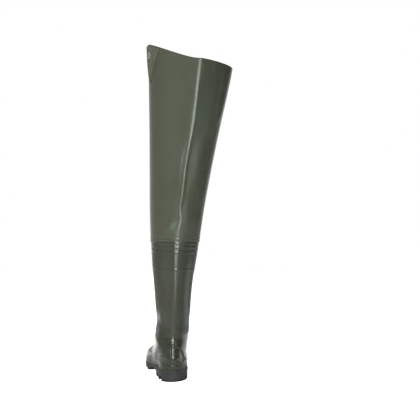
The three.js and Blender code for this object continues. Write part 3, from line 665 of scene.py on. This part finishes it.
def thigh_sheet(materials):
    """The thigh shaft's sheet, with its cut edges and its lining inside."""
    around = turns(SHEET_COLUMNS, SHEET_CROWDING)
    lows = rows_between(SHAFT_LOW, COLLAR_LOW, SHEET_ROW, WELD_HEIGHTS, *WELD_ROWS)
    share = ((lows - SHAFT_LOW) / (COLLAR_LOW - SHAFT_LOW))[:, None]
    heights = lows[:, None] + (collar_height(around)[None, :] - COLLAR_LOW) * share**3
    plain = relaxed(sheet_surface(heights, around[None, :] + 0 * heights), *SHEET_AVERAGING)
    normals = face_normals(plain)
    lift = sheet_relief(plain, heights)[..., None]
    outside = plain + normals * (SHAFT_WALL + lift)
    outside[[0, -1], :, 2] = plain[[0, -1], :, 2]
    chosen = some_rows(len(lows), SHEET_INSIDE_ROWS)
    shown = smooth(heights - BOOT_HEIGHT, 0, INSIDE_FROM)[..., None]
    inside = (plain + normals * lift * shown)[chosen]
    inside[[0, -1], :, 2] = outside[[-1, 0], :, 2]
    finish = ["sheet"] * (len(lows) - 2) + ["edge"] * 2 + ["lining"] * (len(chosen) - 1) + ["edge"]
    obj = ring_piece("thigh_sheet", np.concatenate([outside, inside]), materials, finish, clear_of_eyelet)
    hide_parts("thigh_shaft")


def outline(distance):
    """The upper's lowest ring grown by a distance, seen from above, as its points."""
    around = 2 * np.pi * np.arange(OUTLINE_POINTS) / OUTLINE_POINTS
    ring = boot_point(np.full(OUTLINE_POINTS, RINGS["rise"][0]), around)[:, :2]
    ahead = np.roll(ring, -1, axis=0) - np.roll(ring, 1, axis=0)
    normal = np.stack([ahead[:, 1], -ahead[:, 0]], axis=-1)
    return ring + distance * normal / np.linalg.norm(normal, axis=-1, keepdims=True)


def sides_of(distance, share):
    """The outline's outer and inner side at shares of its length, as places across, and the place along."""
    points = outline(distance)
    low, high = points[:, 1].argmin(), points[:, 1].argmax()
    y = mix(points[low, 1], points[high, 1], share)
    rolled = np.roll(points, -low, axis=0)
    turn_point = (high - low) % len(points)
    inner = rolled[: turn_point + 1]
    outer = np.concatenate([rolled[turn_point:], rolled[:1]])[::-1]
    return np.interp(y, outer[:, 1], outer[:, 0]), np.interp(y, inner[:, 1], inner[:, 0]), y


# Where the toe's rise starts and the tread ends, as shares of the foot, and the sole's reach past it
SPRING_START = 0.76
TREAD_END = 0.99
TIP_REACH = 5.2
# The arch: its slope's length by its height, and its end by the way to the forefoot
ARCH_SLOPE = 0.2
ARCH_END = 0.6
BREAST = HEEL_BACK + HEEL_LENGTH
FOREFOOT = HEEL_BACK + TREAD_START * FOOT_LENGTH
# Lengths over which the forefoot's step and the waist's start fade
FOREFOOT_FADE = 0.6
WAIST_FADE = 3


def tread_curve(y):
    """The underside's height at the tips of its lugs, seen from the side."""
    spring, tip = HEEL_BACK + SPRING_START * FOOT_LENGTH, HEEL_BACK + FOOT_LENGTH + TIP_REACH
    waist = [BREAST + ARCH_SLOPE * ARCH_HEIGHT, mix(BREAST, FOREFOOT, ARCH_END)]
    hump = np.interp(y, [BREAST, *waist, FOREFOOT], [0, ARCH_HEIGHT, ARCH_HEIGHT, 0])
    return hump + TOE_SPRING * np.clip((y - spring) / (tip - spring), 0, 1) ** 2


# On the outer side the mouths of the heel's grooves reach further back, and are deeper
GROOVE_FLARE = 15
GROOVE_STEP = 2.5
# Half the width over which a groove's side, a bar's side or a bar's end falls
STEP_FADE = 0.3
BAR_FADE = 0.5
WALL_FADE = 0.4


def underside(x, y, inset):
    """The underside's height. The inset is how far a point lies inside the wall."""
    pitch = (HEEL_BACK + TREAD_END * FOOT_LENGTH - FOREFOOT) / LUG_COUNT
    place = (y + LUG_SWEEP * np.abs(x) / (BALL_WIDTH / 2) - FOREFOOT) / pitch
    off_bar = np.abs(place - np.floor(place) - 0.5) * pitch
    bar = smooth(LUG_SHARE * pitch / 2 - off_bar, -BAR_FADE, BAR_FADE) * (place > 0) * (place < LUG_COUNT)
    on_bar = bar * smooth(inset, LUG_INSET - WALL_FADE, LUG_INSET + WALL_FADE)
    forefoot = smooth(y, FOREFOOT - FOREFOOT_FADE, FOREFOOT + FOREFOOT_FADE)
    waist = smooth(y, BREAST, BREAST + WAIST_FADE) * (1 - forefoot)
    outer_side = smooth(-x, -HEEL_WIDTH / 8, HEEL_WIDTH / 8)
    flare = GROOVE_FLARE * outer_side * (1 - smooth(inset, 0, 2 * GROOVE_WIDTH))
    grooves = sum(
        smooth(y + flare, groove - STEP_FADE, groove + STEP_FADE)
        * smooth(groove + GROOVE_WIDTH - y, -STEP_FADE, STEP_FADE)
        for groove in HEEL_GROOVES
    )
    groove_depth = GROOVE_DEPTH + GROOVE_STEP * outer_side * (1 - smooth(inset, 0, GROOVE_WIDTH))
    return tread_curve(y) + forefoot * LUG_HEIGHT * (1 - on_bar) + groove_depth * grooves * (1 - waist)


# How high the wall's foot stands over the underside, and the first column's inset
WALL_FOOT = 0.5
FIRST_COLUMN = 0.35
# Hoops this near to a groove's edge give way to its own, and columns close up where less room is left
EDGE_ROOM = 0.5
END_ROOM = 2
# Rows of the wall's foot painted as dark as the underside, as painted shade where the sole meets the floor
SHADED_WALL_ROWS = 2
# The wall's rows, as shares of the way up to the lip
WALL_SHARES = (0.06, 0.13, 0.25, 0.4, 0.6, 0.8, 1)
# The lip and the top, as ways out of the upper's outline and up from the lip's foot
LIP_ROWS = (
    (SOLE_RIM - 0.3, 0), (SOLE_RIM, 0.4), (SOLE_RIM, 2.5), (SOLE_RIM, 4.3), (SOLE_RIM - 0.25, 4.8),
    (SOLE_RIM - 0.8, 5), (0, 5), (-8, 5),
)


def lugged_sole(materials):
    """A closed sole from hoops across it: the underside, the two walls with their lip, and the top."""
    wall = SOLE_RIM - SOLE_WALL_STEP
    points = outline(wall)
    low, high = points[:, 1].min(), points[:, 1].max()
    ends = (1 - np.cos(np.linspace(0, np.pi, SOLE_END_HOOPS))) / 2
    spaced = np.concatenate([mix(low, high, ends), np.arange(low, high, SOLE_HOOP)])
    for groove in HEEL_GROOVES:
        for edge in (groove, groove + GROOVE_WIDTH):
            spaced = spaced[np.abs(spaced - edge) > EDGE_ROOM]
            spaced = np.concatenate([spaced, edge + np.array([-STEP_FADE, 0, STEP_FADE])])
    spaced = np.sort(spaced)
    spaced = np.concatenate([spaced[:-1][np.diff(spaced) > 0.01], [high]])
    share = (spaced - low) / (high - low)
    outer, inner, y = sides_of(wall, share)
    insets = np.array([0, FIRST_COLUMN, LUG_INSET - WALL_FADE, LUG_INSET, LUG_INSET + WALL_FADE])
    half = (inner - outer) / 2
    across = [outer + np.minimum(inset, half * inset / (insets[-1] + END_ROOM)) for inset in insets]
    rest = np.linspace(0, 1, SOLE_COLUMNS)[1:-1]
    left, right = across[-1], inner - (across[-1] - outer)
    columns = across + [mix(left, right, part) for part in rest]
    columns += [inner - (column - outer) for column in across[::-1]]
    x = np.stack(columns, axis=1)
    along = np.repeat(y[:, None], x.shape[1], axis=1)
    inside_wall = np.minimum(x - outer[:, None], inner[:, None] - x)
    bottom = np.stack([x, along, underside(x, along, inside_wall)], axis=-1)
    bottom[:, [0, -1], 2] += WALL_FOOT

    foot_height = bottom[:, [0, -1], 2]
    lip = sole_edge(y)[:, None] - SOLE_LIP_HEIGHT
    walls = [(wall, mix(foot_height, lip, part)) for part in WALL_SHARES]
    walls += [(distance, lip + rise) for distance, rise in LIP_ROWS]
    rows = [bottom[:, ::-1]]
    for distance, height in walls:
        left, right, place = sides_of(distance, share)
        height = height + np.zeros((len(y), 2))
        rows.insert(0, np.stack([right, place, height[:, 1]], axis=-1)[:, None])
        rows.append(np.stack([left, place, height[:, 0]], axis=-1)[:, None])
    hoops = np.concatenate(rows, axis=1)
    count, size = hoops.shape[:2]
    numbers = np.arange(count * size).reshape(count, size)
    faces = cells(np.pad(numbers, ((0, 0), (0, 1)), mode="wrap"))
    # Painted shade: the underside and the wall's lowest rows take the near-black tread finish.
    under = np.zeros(size, np.int32)
    under[len(walls) - SHADED_WALL_ROWS : len(walls) + bottom.shape[1] - 1 + SHADED_WALL_ROWS] = 1
    picks = np.tile(under, count - 1)
    both = [materials["sole"], materials["tread"]]
    obj = piece("lugged_sole", hoops.reshape(-1, 3), faces[:, ::-1], both, picks)
    close_ends(obj)
    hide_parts("outsole")


def close_ends(obj):
    """Welds the hoops' collapsed ends, so that the piece is closed, and turns its faces outward."""
    work = bmesh.new()
    work.from_mesh(obj.data)
    bmesh.ops.remove_doubles(work, verts=work.verts, dist=WELD_DISTANCE * MM)
    edges = [edge for edge in work.edges if edge.is_boundary]
    bmesh.ops.holes_fill(work, edges=edges, sides=0)
    bmesh.ops.recalc_face_normals(work, faces=work.faces)
    work.to_mesh(obj.data)
    work.free()
    obj.data.polygons.foreach_set("use_smooth", [True] * len(obj.data.polygons))
    obj.data.set_sharp_from_angle(angle=math.radians(SOLE_SHARP_ANGLE))


PATCH_MIDDLE = 2 * math.pi - math.radians(PATCH_TURN)
# The patch's ribs along each sloping side: how many, how far apart, how wide and how high
PATCH_RIB_COUNT = 4
PATCH_RIB_SPACING = 7.5
PATCH_RIB_WIDTH = 2.4
PATCH_RIB_STEP = 1.9
# How far the patch's back lies off the sheet, and its front past its thickness
PATCH_BACK = 0.1
PATCH_FRONT = 0.5
# The rim's share of the thickness, and its widths at the sides, the top and the tip as shares
PATCH_RIM = 0.35
PATCH_RIM_WIDTHS = (0.04, 0.015, 0.02)


def outer_sheet(height, turn, distance):
    """Points that lie a distance outward of the sheet's outer face."""
    step = 0.01
    up = sheet_surface(height + 1, turn) - sheet_surface(height - 1, turn)
    around = sheet_surface(height, turn + step) - sheet_surface(height, turn - step)
    normal = np.cross(around, up)
    normal /= np.linalg.norm(normal, axis=-1, keepdims=True)
    return sheet_surface(height, turn) + normal * (SHAFT_WALL + np.asarray(distance)[..., None])


def eyelet_seat():
    """The eyelet's middle on the sheet's outer face, and the way that it faces."""
    height = collar_height(np.array(PATCH_MIDDLE)) - EYELET_DROP
    seat = outer_sheet(height, np.array(PATCH_MIDDLE), 0.0)
    return seat, outer_sheet(height, np.array(PATCH_MIDDLE), 1.0) - seat


def clear_of_eyelet(points, faces):
    """Which faces are left when the eyelet's hole is cut."""
    seat, axis = eyelet_seat()
    offset = points - seat
    along = offset @ axis
    away = np.linalg.norm(offset - along[:, None] * axis, axis=-1)
    cut = (away < mix(EYELET_HOLE, EYELET_FLANGE, 0.7)) & (np.abs(along) < EYELET_FLANGE)
    return ~cut[faces].all(axis=1)


def belt_patch(materials):
    """The three-cornered patch, with ribs along its two sloping sides, a rounded rim, and a painted highlight
    on the rib tops.
    """
    across = np.linspace(-1, 1, PATCH_COLUMNS)[None, :]
    down = np.linspace(0, 1, PATCH_ROWS)[:, None]
    spread = math.radians(PATCH_HALF_TURN) * mix(1, PATCH_TIP_SHARE, down)
    turn = PATCH_MIDDLE + across * spread
    height = collar_height(turn) - PATCH_DROP - down * PATCH_HEIGHT
    from_edge = (1 - np.abs(across)) * spread * SHAFT_TOP_WIDTH / 2
    places = [PATCH_RIB_SPACING * (1 + rib) for rib in range(PATCH_RIB_COUNT)]
    ribs = sum(bump(from_edge, place, PATCH_RIB_WIDTH) for place in places)
    at_side, at_top, at_tip = PATCH_RIM_WIDTHS
    rim = smooth(1 - np.abs(across), 0, at_side) * smooth(down, 0, at_top) * smooth(1 - down, 0, at_tip)
    thickness = PATCH_WALL * mix(PATCH_RIM, 1, rim) + PATCH_RIB_STEP * ribs * rim
    front = outer_sheet(height, turn, PATCH_FRONT + thickness)
    back = outer_sheet(height, turn, PATCH_BACK + 0 * thickness)
    rows, columns = front.shape[:2]
    points = np.concatenate([front.reshape(-1, 3), back.reshape(-1, 3)])
    offset = rows * columns
    index = np.arange(offset).reshape(rows, columns)
    face = cells(index)
    rim_loop = np.concatenate([index[0, :-1], index[:-1, -1], index[-1, :0:-1], index[:0:-1, 0]])
    next_loop = np.roll(rim_loop, -1)
    side = np.stack([rim_loop, next_loop, next_loop + offset, rim_loop + offset], axis=-1)
    faces = np.concatenate([face[:, ::-1], face + offset, side])
    picks = np.zeros(len(faces), np.int32)
    # Painted highlight: faces on the rib crests take the paler finish.
    picks[: len(face)] = (ribs[:-1, :-1] > 0.5).ravel()
    left = clear_of_eyelet(points, faces)
    both = [materials["sheet"], materials["rub_marks_and_rib_highlight"]]
    obj = piece("belt_patch_ribbed", points, faces[left], both, picks[left])
    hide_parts("belt_patch")


def belt_eyelet(materials):
    """A rolled ring, turned round the axis that stands on the sheet."""
    seat, axis = eyelet_seat()
    side = np.cross(axis, (0, 0, 1))
    side /= np.linalg.norm(side)
    up = np.cross(side, axis)
    front = PATCH_WALL + 3 * GAP
    back = -SHAFT_WALL - 2 * GAP - EYELET_FLANGE**2 / (0.55 * SHAFT_TOP_DEPTH)
    middle, half = (EYELET_HOLE + EYELET_FLANGE) / 2, (EYELET_FLANGE - EYELET_HOLE) / 2
    roll = np.linspace(np.pi, 0, EYELET_CROWN_ROWS)
    crown = [(middle + half * math.cos(a), front + 1.1 * EYELET_METAL * math.sin(a)) for a in roll]
    profile = crown + [
        (EYELET_FLANGE - 0.4, front - 0.35),
        (EYELET_HOLE + EYELET_METAL, front - 0.2),
        (EYELET_HOLE + EYELET_METAL, back + 0.2),
        (EYELET_FLANGE - 0.3, back),
        (EYELET_FLANGE, back - 0.4),
        (EYELET_FLANGE - 0.5, back - EYELET_METAL),
        (EYELET_HOLE + 0.4, back - EYELET_METAL),
        (EYELET_HOLE, back - 0.4),
    ]
    angles = 2 * np.pi * np.arange(EYELET_COLUMNS) / EYELET_COLUMNS
    rows = np.array([
        [seat + radius * (math.cos(a) * side + math.sin(a) * up) + out * axis for a in angles]
        for radius, out in profile
    ])
    obj = ring_piece("rolled_eyelet", rows, {"metal": materials["metal"]}, ["metal"] * len(rows))
    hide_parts("belt_eyelet")


def feed(tree, taker, inputs):
    """Gives a node its inputs: links to other nodes' outputs, or plain values."""
    for socket, value in inputs.items():
        if isinstance(value, bpy.types.NodeSocket):
            tree.links.new(value, taker.inputs[socket])
        else:
            taker.inputs[socket].default_value = value


def node(tree, kind, inputs=None, **settings):
    made = tree.nodes.new(kind)
    for name, value in settings.items():
        setattr(made, name, value)
    feed(tree, made, inputs or {})
    return made


def place_in(tree):
    return node(tree, "ShaderNodeTexCoord").outputs["Object"]


def noise(tree, vector, scale, detail=3.0, roughness=0.55, distortion=0.0):
    """Soft noise with so many cells a metre."""
    inputs = {"Vector": vector, "Scale": scale, "Detail": detail, "Roughness": roughness}
    return node(tree, "ShaderNodeTexNoise", {**inputs, "Distortion": distortion}).outputs["Fac"]


def ramp(tree, value, low, high, to_low, to_high):
    """The value's range from low to high, spread over another range."""
    inputs = {"Value": value, "From Min": low, "From Max": high, "To Min": to_low, "To Max": to_high}
    return node(tree, "ShaderNodeMapRange", inputs, interpolation_type="SMOOTHSTEP").outputs["Result"]


def maths(tree, operation, first, second):
    return node(tree, "ShaderNodeMath", {0: first, 1: second}, operation=operation).outputs[0]


def blended(tree, share, first, second):
    """A colour between two colours, by share."""
    ends = [(*colour, 1) if isinstance(colour, tuple) else colour for colour in (first, second)]
    inputs = {0: share, 6: ends[0], 7: ends[1]}
    return node(tree, "ShaderNodeMix", inputs, data_type="RGBA").outputs[2]


def raised(tree, height, distance, strength=1.0, over=None):
    """A bump from a height of 0 to 1 that stands for a real distance in millimetres."""
    inputs = {"Height": height, "Distance": distance * MM, "Strength": strength}
    if over is not None:
        inputs["Normal"] = over
    return node(tree, "ShaderNodeBump", inputs).outputs["Normal"]


def material_of(name, shade):
    """A material whose shader gets its inputs from shade(tree): plain values or other nodes' outputs."""
    material = bpy.data.materials.new(name)
    material.use_nodes = True
    tree = material.node_tree
    feed(tree, tree.nodes["Principled BSDF"], shade(tree))
    return material


# Colours, in pairs where a material goes from one to the other in clouds or patches
SHEET_OLIVE = ((0.066, 0.07, 0.046), (0.077, 0.081, 0.056))
SHEET_SPECKS = (0.1, 0.104, 0.08)
# Painted highlight on the patch's rib tops
RIB_HIGHLIGHT_OLIVE = (0.125, 0.13, 0.1)
GLOSS_OLIVE = ((0.042, 0.044, 0.03), (0.052, 0.054, 0.038))
GLOSS_DUST = (0.09, 0.092, 0.075)
SOLE_GREY = ((0.052, 0.052, 0.05), (0.064, 0.063, 0.06))
# Painted contact shade at the sole's foot
SOLE_CONTACT_SHADE = (0.03, 0.029, 0.026)
# Near-black underside, painted shade under the sole
TREAD_SHADE_GREY = ((0.012, 0.012, 0.012), (0.03, 0.029, 0.027))
KNIT = ((0.13, 0.125, 0.1), (0.29, 0.275, 0.225))
CUT_EDGE = ((0.022, 0.026, 0.019), (0.12, 0.12, 0.09))
NICKEL = ((0.78, 0.75, 0.68), (0.4, 0.34, 0.26))
PAPER = ((0.86, 0.86, 0.86), (0.88, 0.88, 0.88))


def sheet_shade(tree):
    """Satin sheet: olive with cloudy lighter patches, a pebbled skin and faint upright rub marks."""
    place = place_in(tree)
    clouds = noise(tree, place, 9, 4, 0.6)
    specks = noise(tree, place, 420, 2)
    colour = blended(tree, ramp(tree, clouds, 0.3, 0.7, 0, 1), *SHEET_OLIVE)
    colour = blended(tree, ramp(tree, specks, 0.45, 0.75, 0, 0.25), colour, SHEET_SPECKS)
    stretched = node(tree, "ShaderNodeMapping", {"Vector": place, "Scale": (60, 60, 4)}).outputs["Vector"]
    rubs = noise(tree, stretched, 1, 4, 0.6)
    rub_marks_and_rib_highlight = ramp(tree, rubs, 0.3, 0.7, 0.3, 0.37)
    roughness = maths(tree, "ADD", rub_marks_and_rib_highlight, ramp(tree, clouds, 0.3, 0.7, 0, 0.05))
    skin = raised(tree, noise(tree, place, 900, 2), 0.03)
    waves = raised(tree, noise(tree, place, 22, 2, 0.4), 0.12, over=skin)
    coat = {"Coat Weight": 0.25, "Coat Roughness": 0.2}
    return {"Base Color": colour, "Roughness": roughness, "Normal": waves, **coat}


def rib_highlight_shade(tree):
    """The patch's rib tops: the satin sheet, painted paler as a highlight along the crests."""
    return {**sheet_shade(tree), "Base Color": (*RIB_HIGHLIGHT_OLIVE, 1)}


def gloss_shade(tree):
    """Moulded skin: darker and wet looking, with slow waves, fine dust and a little scuffing low down."""
    place = place_in(tree)
    clouds = noise(tree, place, 14, 3, 0.5)
    colour = blended(tree, ramp(tree, clouds, 0.3, 0.7, 0, 1), *GLOSS_OLIVE)
    dust = noise(tree, place, 700, 3, 0.7)
    colour = blended(tree, ramp(tree, dust, 0.6, 0.8, 0, 0.3), colour, GLOSS_DUST)
    height = node(tree, "ShaderNodeSeparateXYZ", {0: place}).outputs["Z"]
    scuffs = noise(tree, place, 60, 5, 0.7, 0.4)
    low_down = ramp(tree, height, 0.03, 0.1, 1, 0)
    worn = maths(tree, "MULTIPLY", low_down, ramp(tree, scuffs, 0.5, 0.7, 0, 0.12))
    roughness = maths(tree, "ADD", ramp(tree, clouds, 0.3, 0.7, 0.19, 0.25), worn)
    skin = raised(tree, noise(tree, place, 500, 2), 0.012)
    waves = raised(tree, noise(tree, place, 30, 2, 0.4), 0.1, over=skin)
    coat = {"Coat Weight": 0.2, "Coat Roughness": 0.07}
    return {"Base Color": colour, "Roughness": roughness, "Normal": waves, **coat}


def sole_shade(tree):
    """Sole rubber: greyer and matt, with a fine grain and pale bloom, and painted contact shade darkening it
    where it meets the floor.
    """
    place = place_in(tree)
    bloom = noise(tree, place, 35, 5, 0.65)
    colour = blended(tree, ramp(tree, bloom, 0.35, 0.7, 0, 1), *SOLE_GREY)
    height = node(tree, "ShaderNodeSeparateXYZ", {0: place}).outputs["Z"]
    # Painted shade: the rubber darkens toward the floor, standing in for the contact shadow under the sole.
    colour = blended(tree, ramp(tree, height, 0.001, 0.006, 0.35, 0), colour, SOLE_CONTACT_SHADE)
    grain = raised(tree, noise(tree, place, 1500, 3, 0.6), 0.05)
    roughness = ramp(tree, bloom, 0.3, 0.7, 0.5, 0.62)
    return {"Base Color": colour, "Roughness": roughness, "Normal": grain, "Specular IOR Level": 0.3}


def tread_shade(tree):
    """The underside: the same rubber, painted nearly black as the shade under the sole, with grey dust."""
    dust = noise(tree, place_in(tree), 120, 5, 0.7)
    colour = blended(tree, ramp(tree, dust, 0.5, 0.75, 0, 1), *TREAD_SHADE_GREY)
    return {"Base Color": colour, "Roughness": 0.6, "Normal": raised(tree, dust, 0.06)}


def lining_shade(tree):
    """Knit lining: courses up the leg and wales round it, a little fuzzy."""
    place = place_in(tree)
    bands = []
    for scale, distortion, way in ((130, 1.2, "Z"), (110, 1, "DIAGONAL")):
        inputs = {"Vector": place, "Scale": scale, "Distortion": distortion, "Detail": 1}
        bands.append(node(tree, "ShaderNodeTexWave", inputs, bands_direction=way).outputs["Fac"])
    courses, wales = bands
    knit = maths(tree, "MULTIPLY", courses, maths(tree, "ADD", maths(tree, "MULTIPLY", wales, 0.6), 0.4))
    colour = blended(tree, knit, *KNIT)
    fuzz = raised(tree, noise(tree, place, 1600, 4, 0.7), 0.12)
    stitches = raised(tree, knit, 0.35, over=fuzz)
    return {"Base Color": colour, "Roughness": 0.92, "Normal": stitches, "Sheen Weight": 0.25}


def edge_shade(tree):
    """The sheet's cut edge: dark, with the knit's pale fibres."""
    fibres = noise(tree, place_in(tree), 900, 3, 0.7)
    colour = blended(tree, ramp(tree, fibres, 0.55, 0.7, 0, 0.5), *CUT_EDGE)
    return {"Base Color": colour, "Roughness": 0.55}


def nickel_shade(tree):
    """Plated ring: warm grey metal, dulled in patches."""
    place = place_in(tree)
    patches = noise(tree, place, 260, 5, 0.7)
    colour = blended(tree, ramp(tree, patches, 0.4, 0.7, 0, 1), *NICKEL)
    return {"Base Color": colour, "Metallic": 1.0, "Roughness": ramp(tree, patches, 0.4, 0.7, 0.22, 0.45)}


# The room is brightest to one side: the way there, and its light there and opposite
BRIGHT_SIDE = (-0.85, 0.4, 0.2)
BRIGHT_SIDE_LIGHT = (0.32, 0.32, 0.31)
DIM_SIDE_LIGHT = (0.008, 0.014, 0.01)
BACKDROP_LIGHT = (0.9, 0.9, 0.92)
WHITE = (1, 1, 1)
# The floor's glow, and its glow in painted pools of light round the boot: their middles, reaches and shares
FLOOR_GLOW = (0.05, 1.15)
FLOOR_POOLS = (
    ((-0.36, 0.6), 0.4, 1),
    ((-0.42, -0.08), 0.26, 0.6),
    ((0.36, 0.36), 0.36, 0.6),
    ((1.1, 0.2), 0.55, 0.6),
)
# A pool keeps its full glow out to this share of its reach
POOL_CORE = 0.65
FLOOR_HALF = 8
# Panels of light: place, what they face, width, height, power and colour
PANELS = {
    "key": ((-1.7, -1.1, 1.3), (0, 0, 0.45), 1.1, 1.5, 22, (1, 0.99, 0.93)),
    "tall_strip": ((0.12, -1.25, 0.65), (0.03, 0, 0.65), 0.26, 1, 9.5, (0.86, 1, 0.97)),
    "low_strip": ((0.1, -1.2, 0.08), (0.02, 0, 0.2), 0.22, 0.13, 0.5, (0.95, 1, 0.97)),
    "inner_panel": ((0.12, 0.02, 0.07), (0.03, 0.02, 0.07), 0.15, 0.055, 0.035, WHITE),
    "side_panel": ((0.62, -1.1, 0.62), (0.05, 0, 0.55), 0.4, 0.55, 0.9, WHITE),
    "fold_panel": ((1.1, -0.24, 0.72), (0.09, -0.05, 0.63), 0.7, 0.14, 0.12, WHITE),
}
NOT_MIRRORED = ("key",)
ONLY_MIRRORED = ("inner_panel", "side_panel", "fold_panel")


def floor_shade(tree):
    """Backdrop paper that glows white to the camera, and glows in painted pools of light round the boot for
    the light and reflections it gives.
    """
    place = place_in(tree)
    clouds = noise(tree, place, 3, 2)
    colour = blended(tree, ramp(tree, clouds, 0.3, 0.7, 0, 1), *PAPER)
    glow_share = node(tree, "ShaderNodeLightPath").outputs["Is Camera Ray"]
    # Painted pools of light: the floor glows in pools round the boot, lighting it and showing in its
    # reflections.
    for middle, reach, share in FLOOR_POOLS:
        ends = {0: place, 1: (*middle, 0)}
        away = node(tree, "ShaderNodeVectorMath", ends, operation="DISTANCE").outputs["Value"]
        glow_share = maths(tree, "MAXIMUM", glow_share, ramp(tree, away, POOL_CORE * reach, reach, share, 0))
    glow = ramp(tree, glow_share, 0, 1, *FLOOR_GLOW)
    return {"Base Color": colour, "Roughness": 0.9, "Emission Color": (*WHITE, 1), "Emission Strength": glow}


def room():
    """A room that the camera sees white, and that is bright at the backdrop and dim on the inner side."""
    world = bpy.data.worlds.new("studio")
    bpy.context.scene.world = world
    world.use_nodes = True
    tree = world.node_tree
    direction = node(tree, "ShaderNodeTexCoord").outputs["Generated"]
    ways = {0: direction, 1: BRIGHT_SIDE}
    facing = node(tree, "ShaderNodeVectorMath", ways, operation="DOT_PRODUCT").outputs["Value"]
    light = blended(tree, ramp(tree, facing, -0.7, 0.8, 0, 1), DIM_SIDE_LIGHT, BRIGHT_SIDE_LIGHT)
    ahead = node(tree, "ShaderNodeSeparateXYZ", {0: direction}).outputs["Y"]
    light = blended(tree, ramp(tree, ahead, 0.5, 0.95, 0, 1), light, BACKDROP_LIGHT)
    seen = node(tree, "ShaderNodeLightPath").outputs["Is Camera Ray"]
    feed(tree, tree.nodes["Background"], {"Color": blended(tree, seen, light, WHITE)})


def panel(name, place, target, width, height, power, colour):
    """A panel of light at a place that faces a target, in metres and watts."""
    data = bpy.data.lights.new(name, "AREA")
    data.shape = "RECTANGLE"
    data.size = width
    data.size_y = height
    data.energy = power
    data.color = colour
    obj = placed(name, data)
    obj.location = place
    facing = Vector(target) - Vector(place)
    obj.rotation_euler = facing.to_track_quat("-Z", "Y").to_euler()
    obj.visible_camera = False
    obj.visible_glossy = name not in NOT_MIRRORED
    obj.visible_diffuse = name not in ONLY_MIRRORED


def floor(material):
    """A square of paper under the boot, for the picture alone."""
    mesh = bpy.data.meshes.new("floor")
    corners = ((-1, -1), (1, -1), (1, 1), (-1, 1))
    mesh.from_pydata([(x * FLOOR_HALF, y * FLOOR_HALF, 0) for x, y in corners], [], [(0, 1, 2, 3)])
    mesh.materials.append(material)
    placed("floor", mesh)


# The camera stands behind the boot, on its outer side, turned to the inner side and up
CAMERA_PLACE = (-0.134, -1.657, 0.319)
CAMERA_HEADING = 8
CAMERA_PITCH = 3.5
# The lens, by its focal length in pixels of the square picture
SENSOR_WIDTH = 36
FOCAL_PIXELS = 655
PICTURE_PIXELS = 420


def camera():
    """The camera that matches the view from behind."""
    data = bpy.data.cameras.new("camera")
    data.lens = SENSOR_WIDTH * FOCAL_PIXELS / PICTURE_PIXELS
    data.clip_start = 0.05
    obj = placed("camera", data)
    obj.location = CAMERA_PLACE
    obj.rotation_euler = (math.pi / 2 + math.radians(CAMERA_PITCH), 0, -math.radians(CAMERA_HEADING))
    bpy.context.scene.camera = obj


def studio(paper):
    """The room, its panels of light, the floor and the camera."""
    bpy.context.scene.view_settings.view_transform = "Standard"
    room()
    for name, settings in PANELS.items():
        panel(name, *settings)
    floor(paper)
    camera()


def main():
    shades = {
        "gloss": ("moulded_pvc", gloss_shade),
        "sheet": ("sheet_pvc", sheet_shade),
        "rub_marks_and_rib_highlight": ("rib_highlight_pvc", rib_highlight_shade),
        "sole": ("sole_rubber", sole_shade),
        "tread": ("shaded_tread_rubber", tread_shade),
        "lining": ("knit_lining", lining_shade),
        "edge": ("cut_edge", edge_shade),
        "metal": ("worn_nickel", nickel_shade),
    }
    materials = {key: material_of(name, shade) for key, (name, shade) in shades.items()}
    boot_upper({name: materials[name] for name in ("gloss", "lining")})
    thigh_sheet({name: materials[name] for name in ("sheet", "edge", "lining")})
    lugged_sole(materials)
    belt_patch(materials)
    belt_eyelet(materials)
    footbed = bpy.data.objects["insole"].data
    footbed.materials.clear()
    footbed.materials.append(materials["lining"])
    studio(material_of("floor", floor_shade))


main()
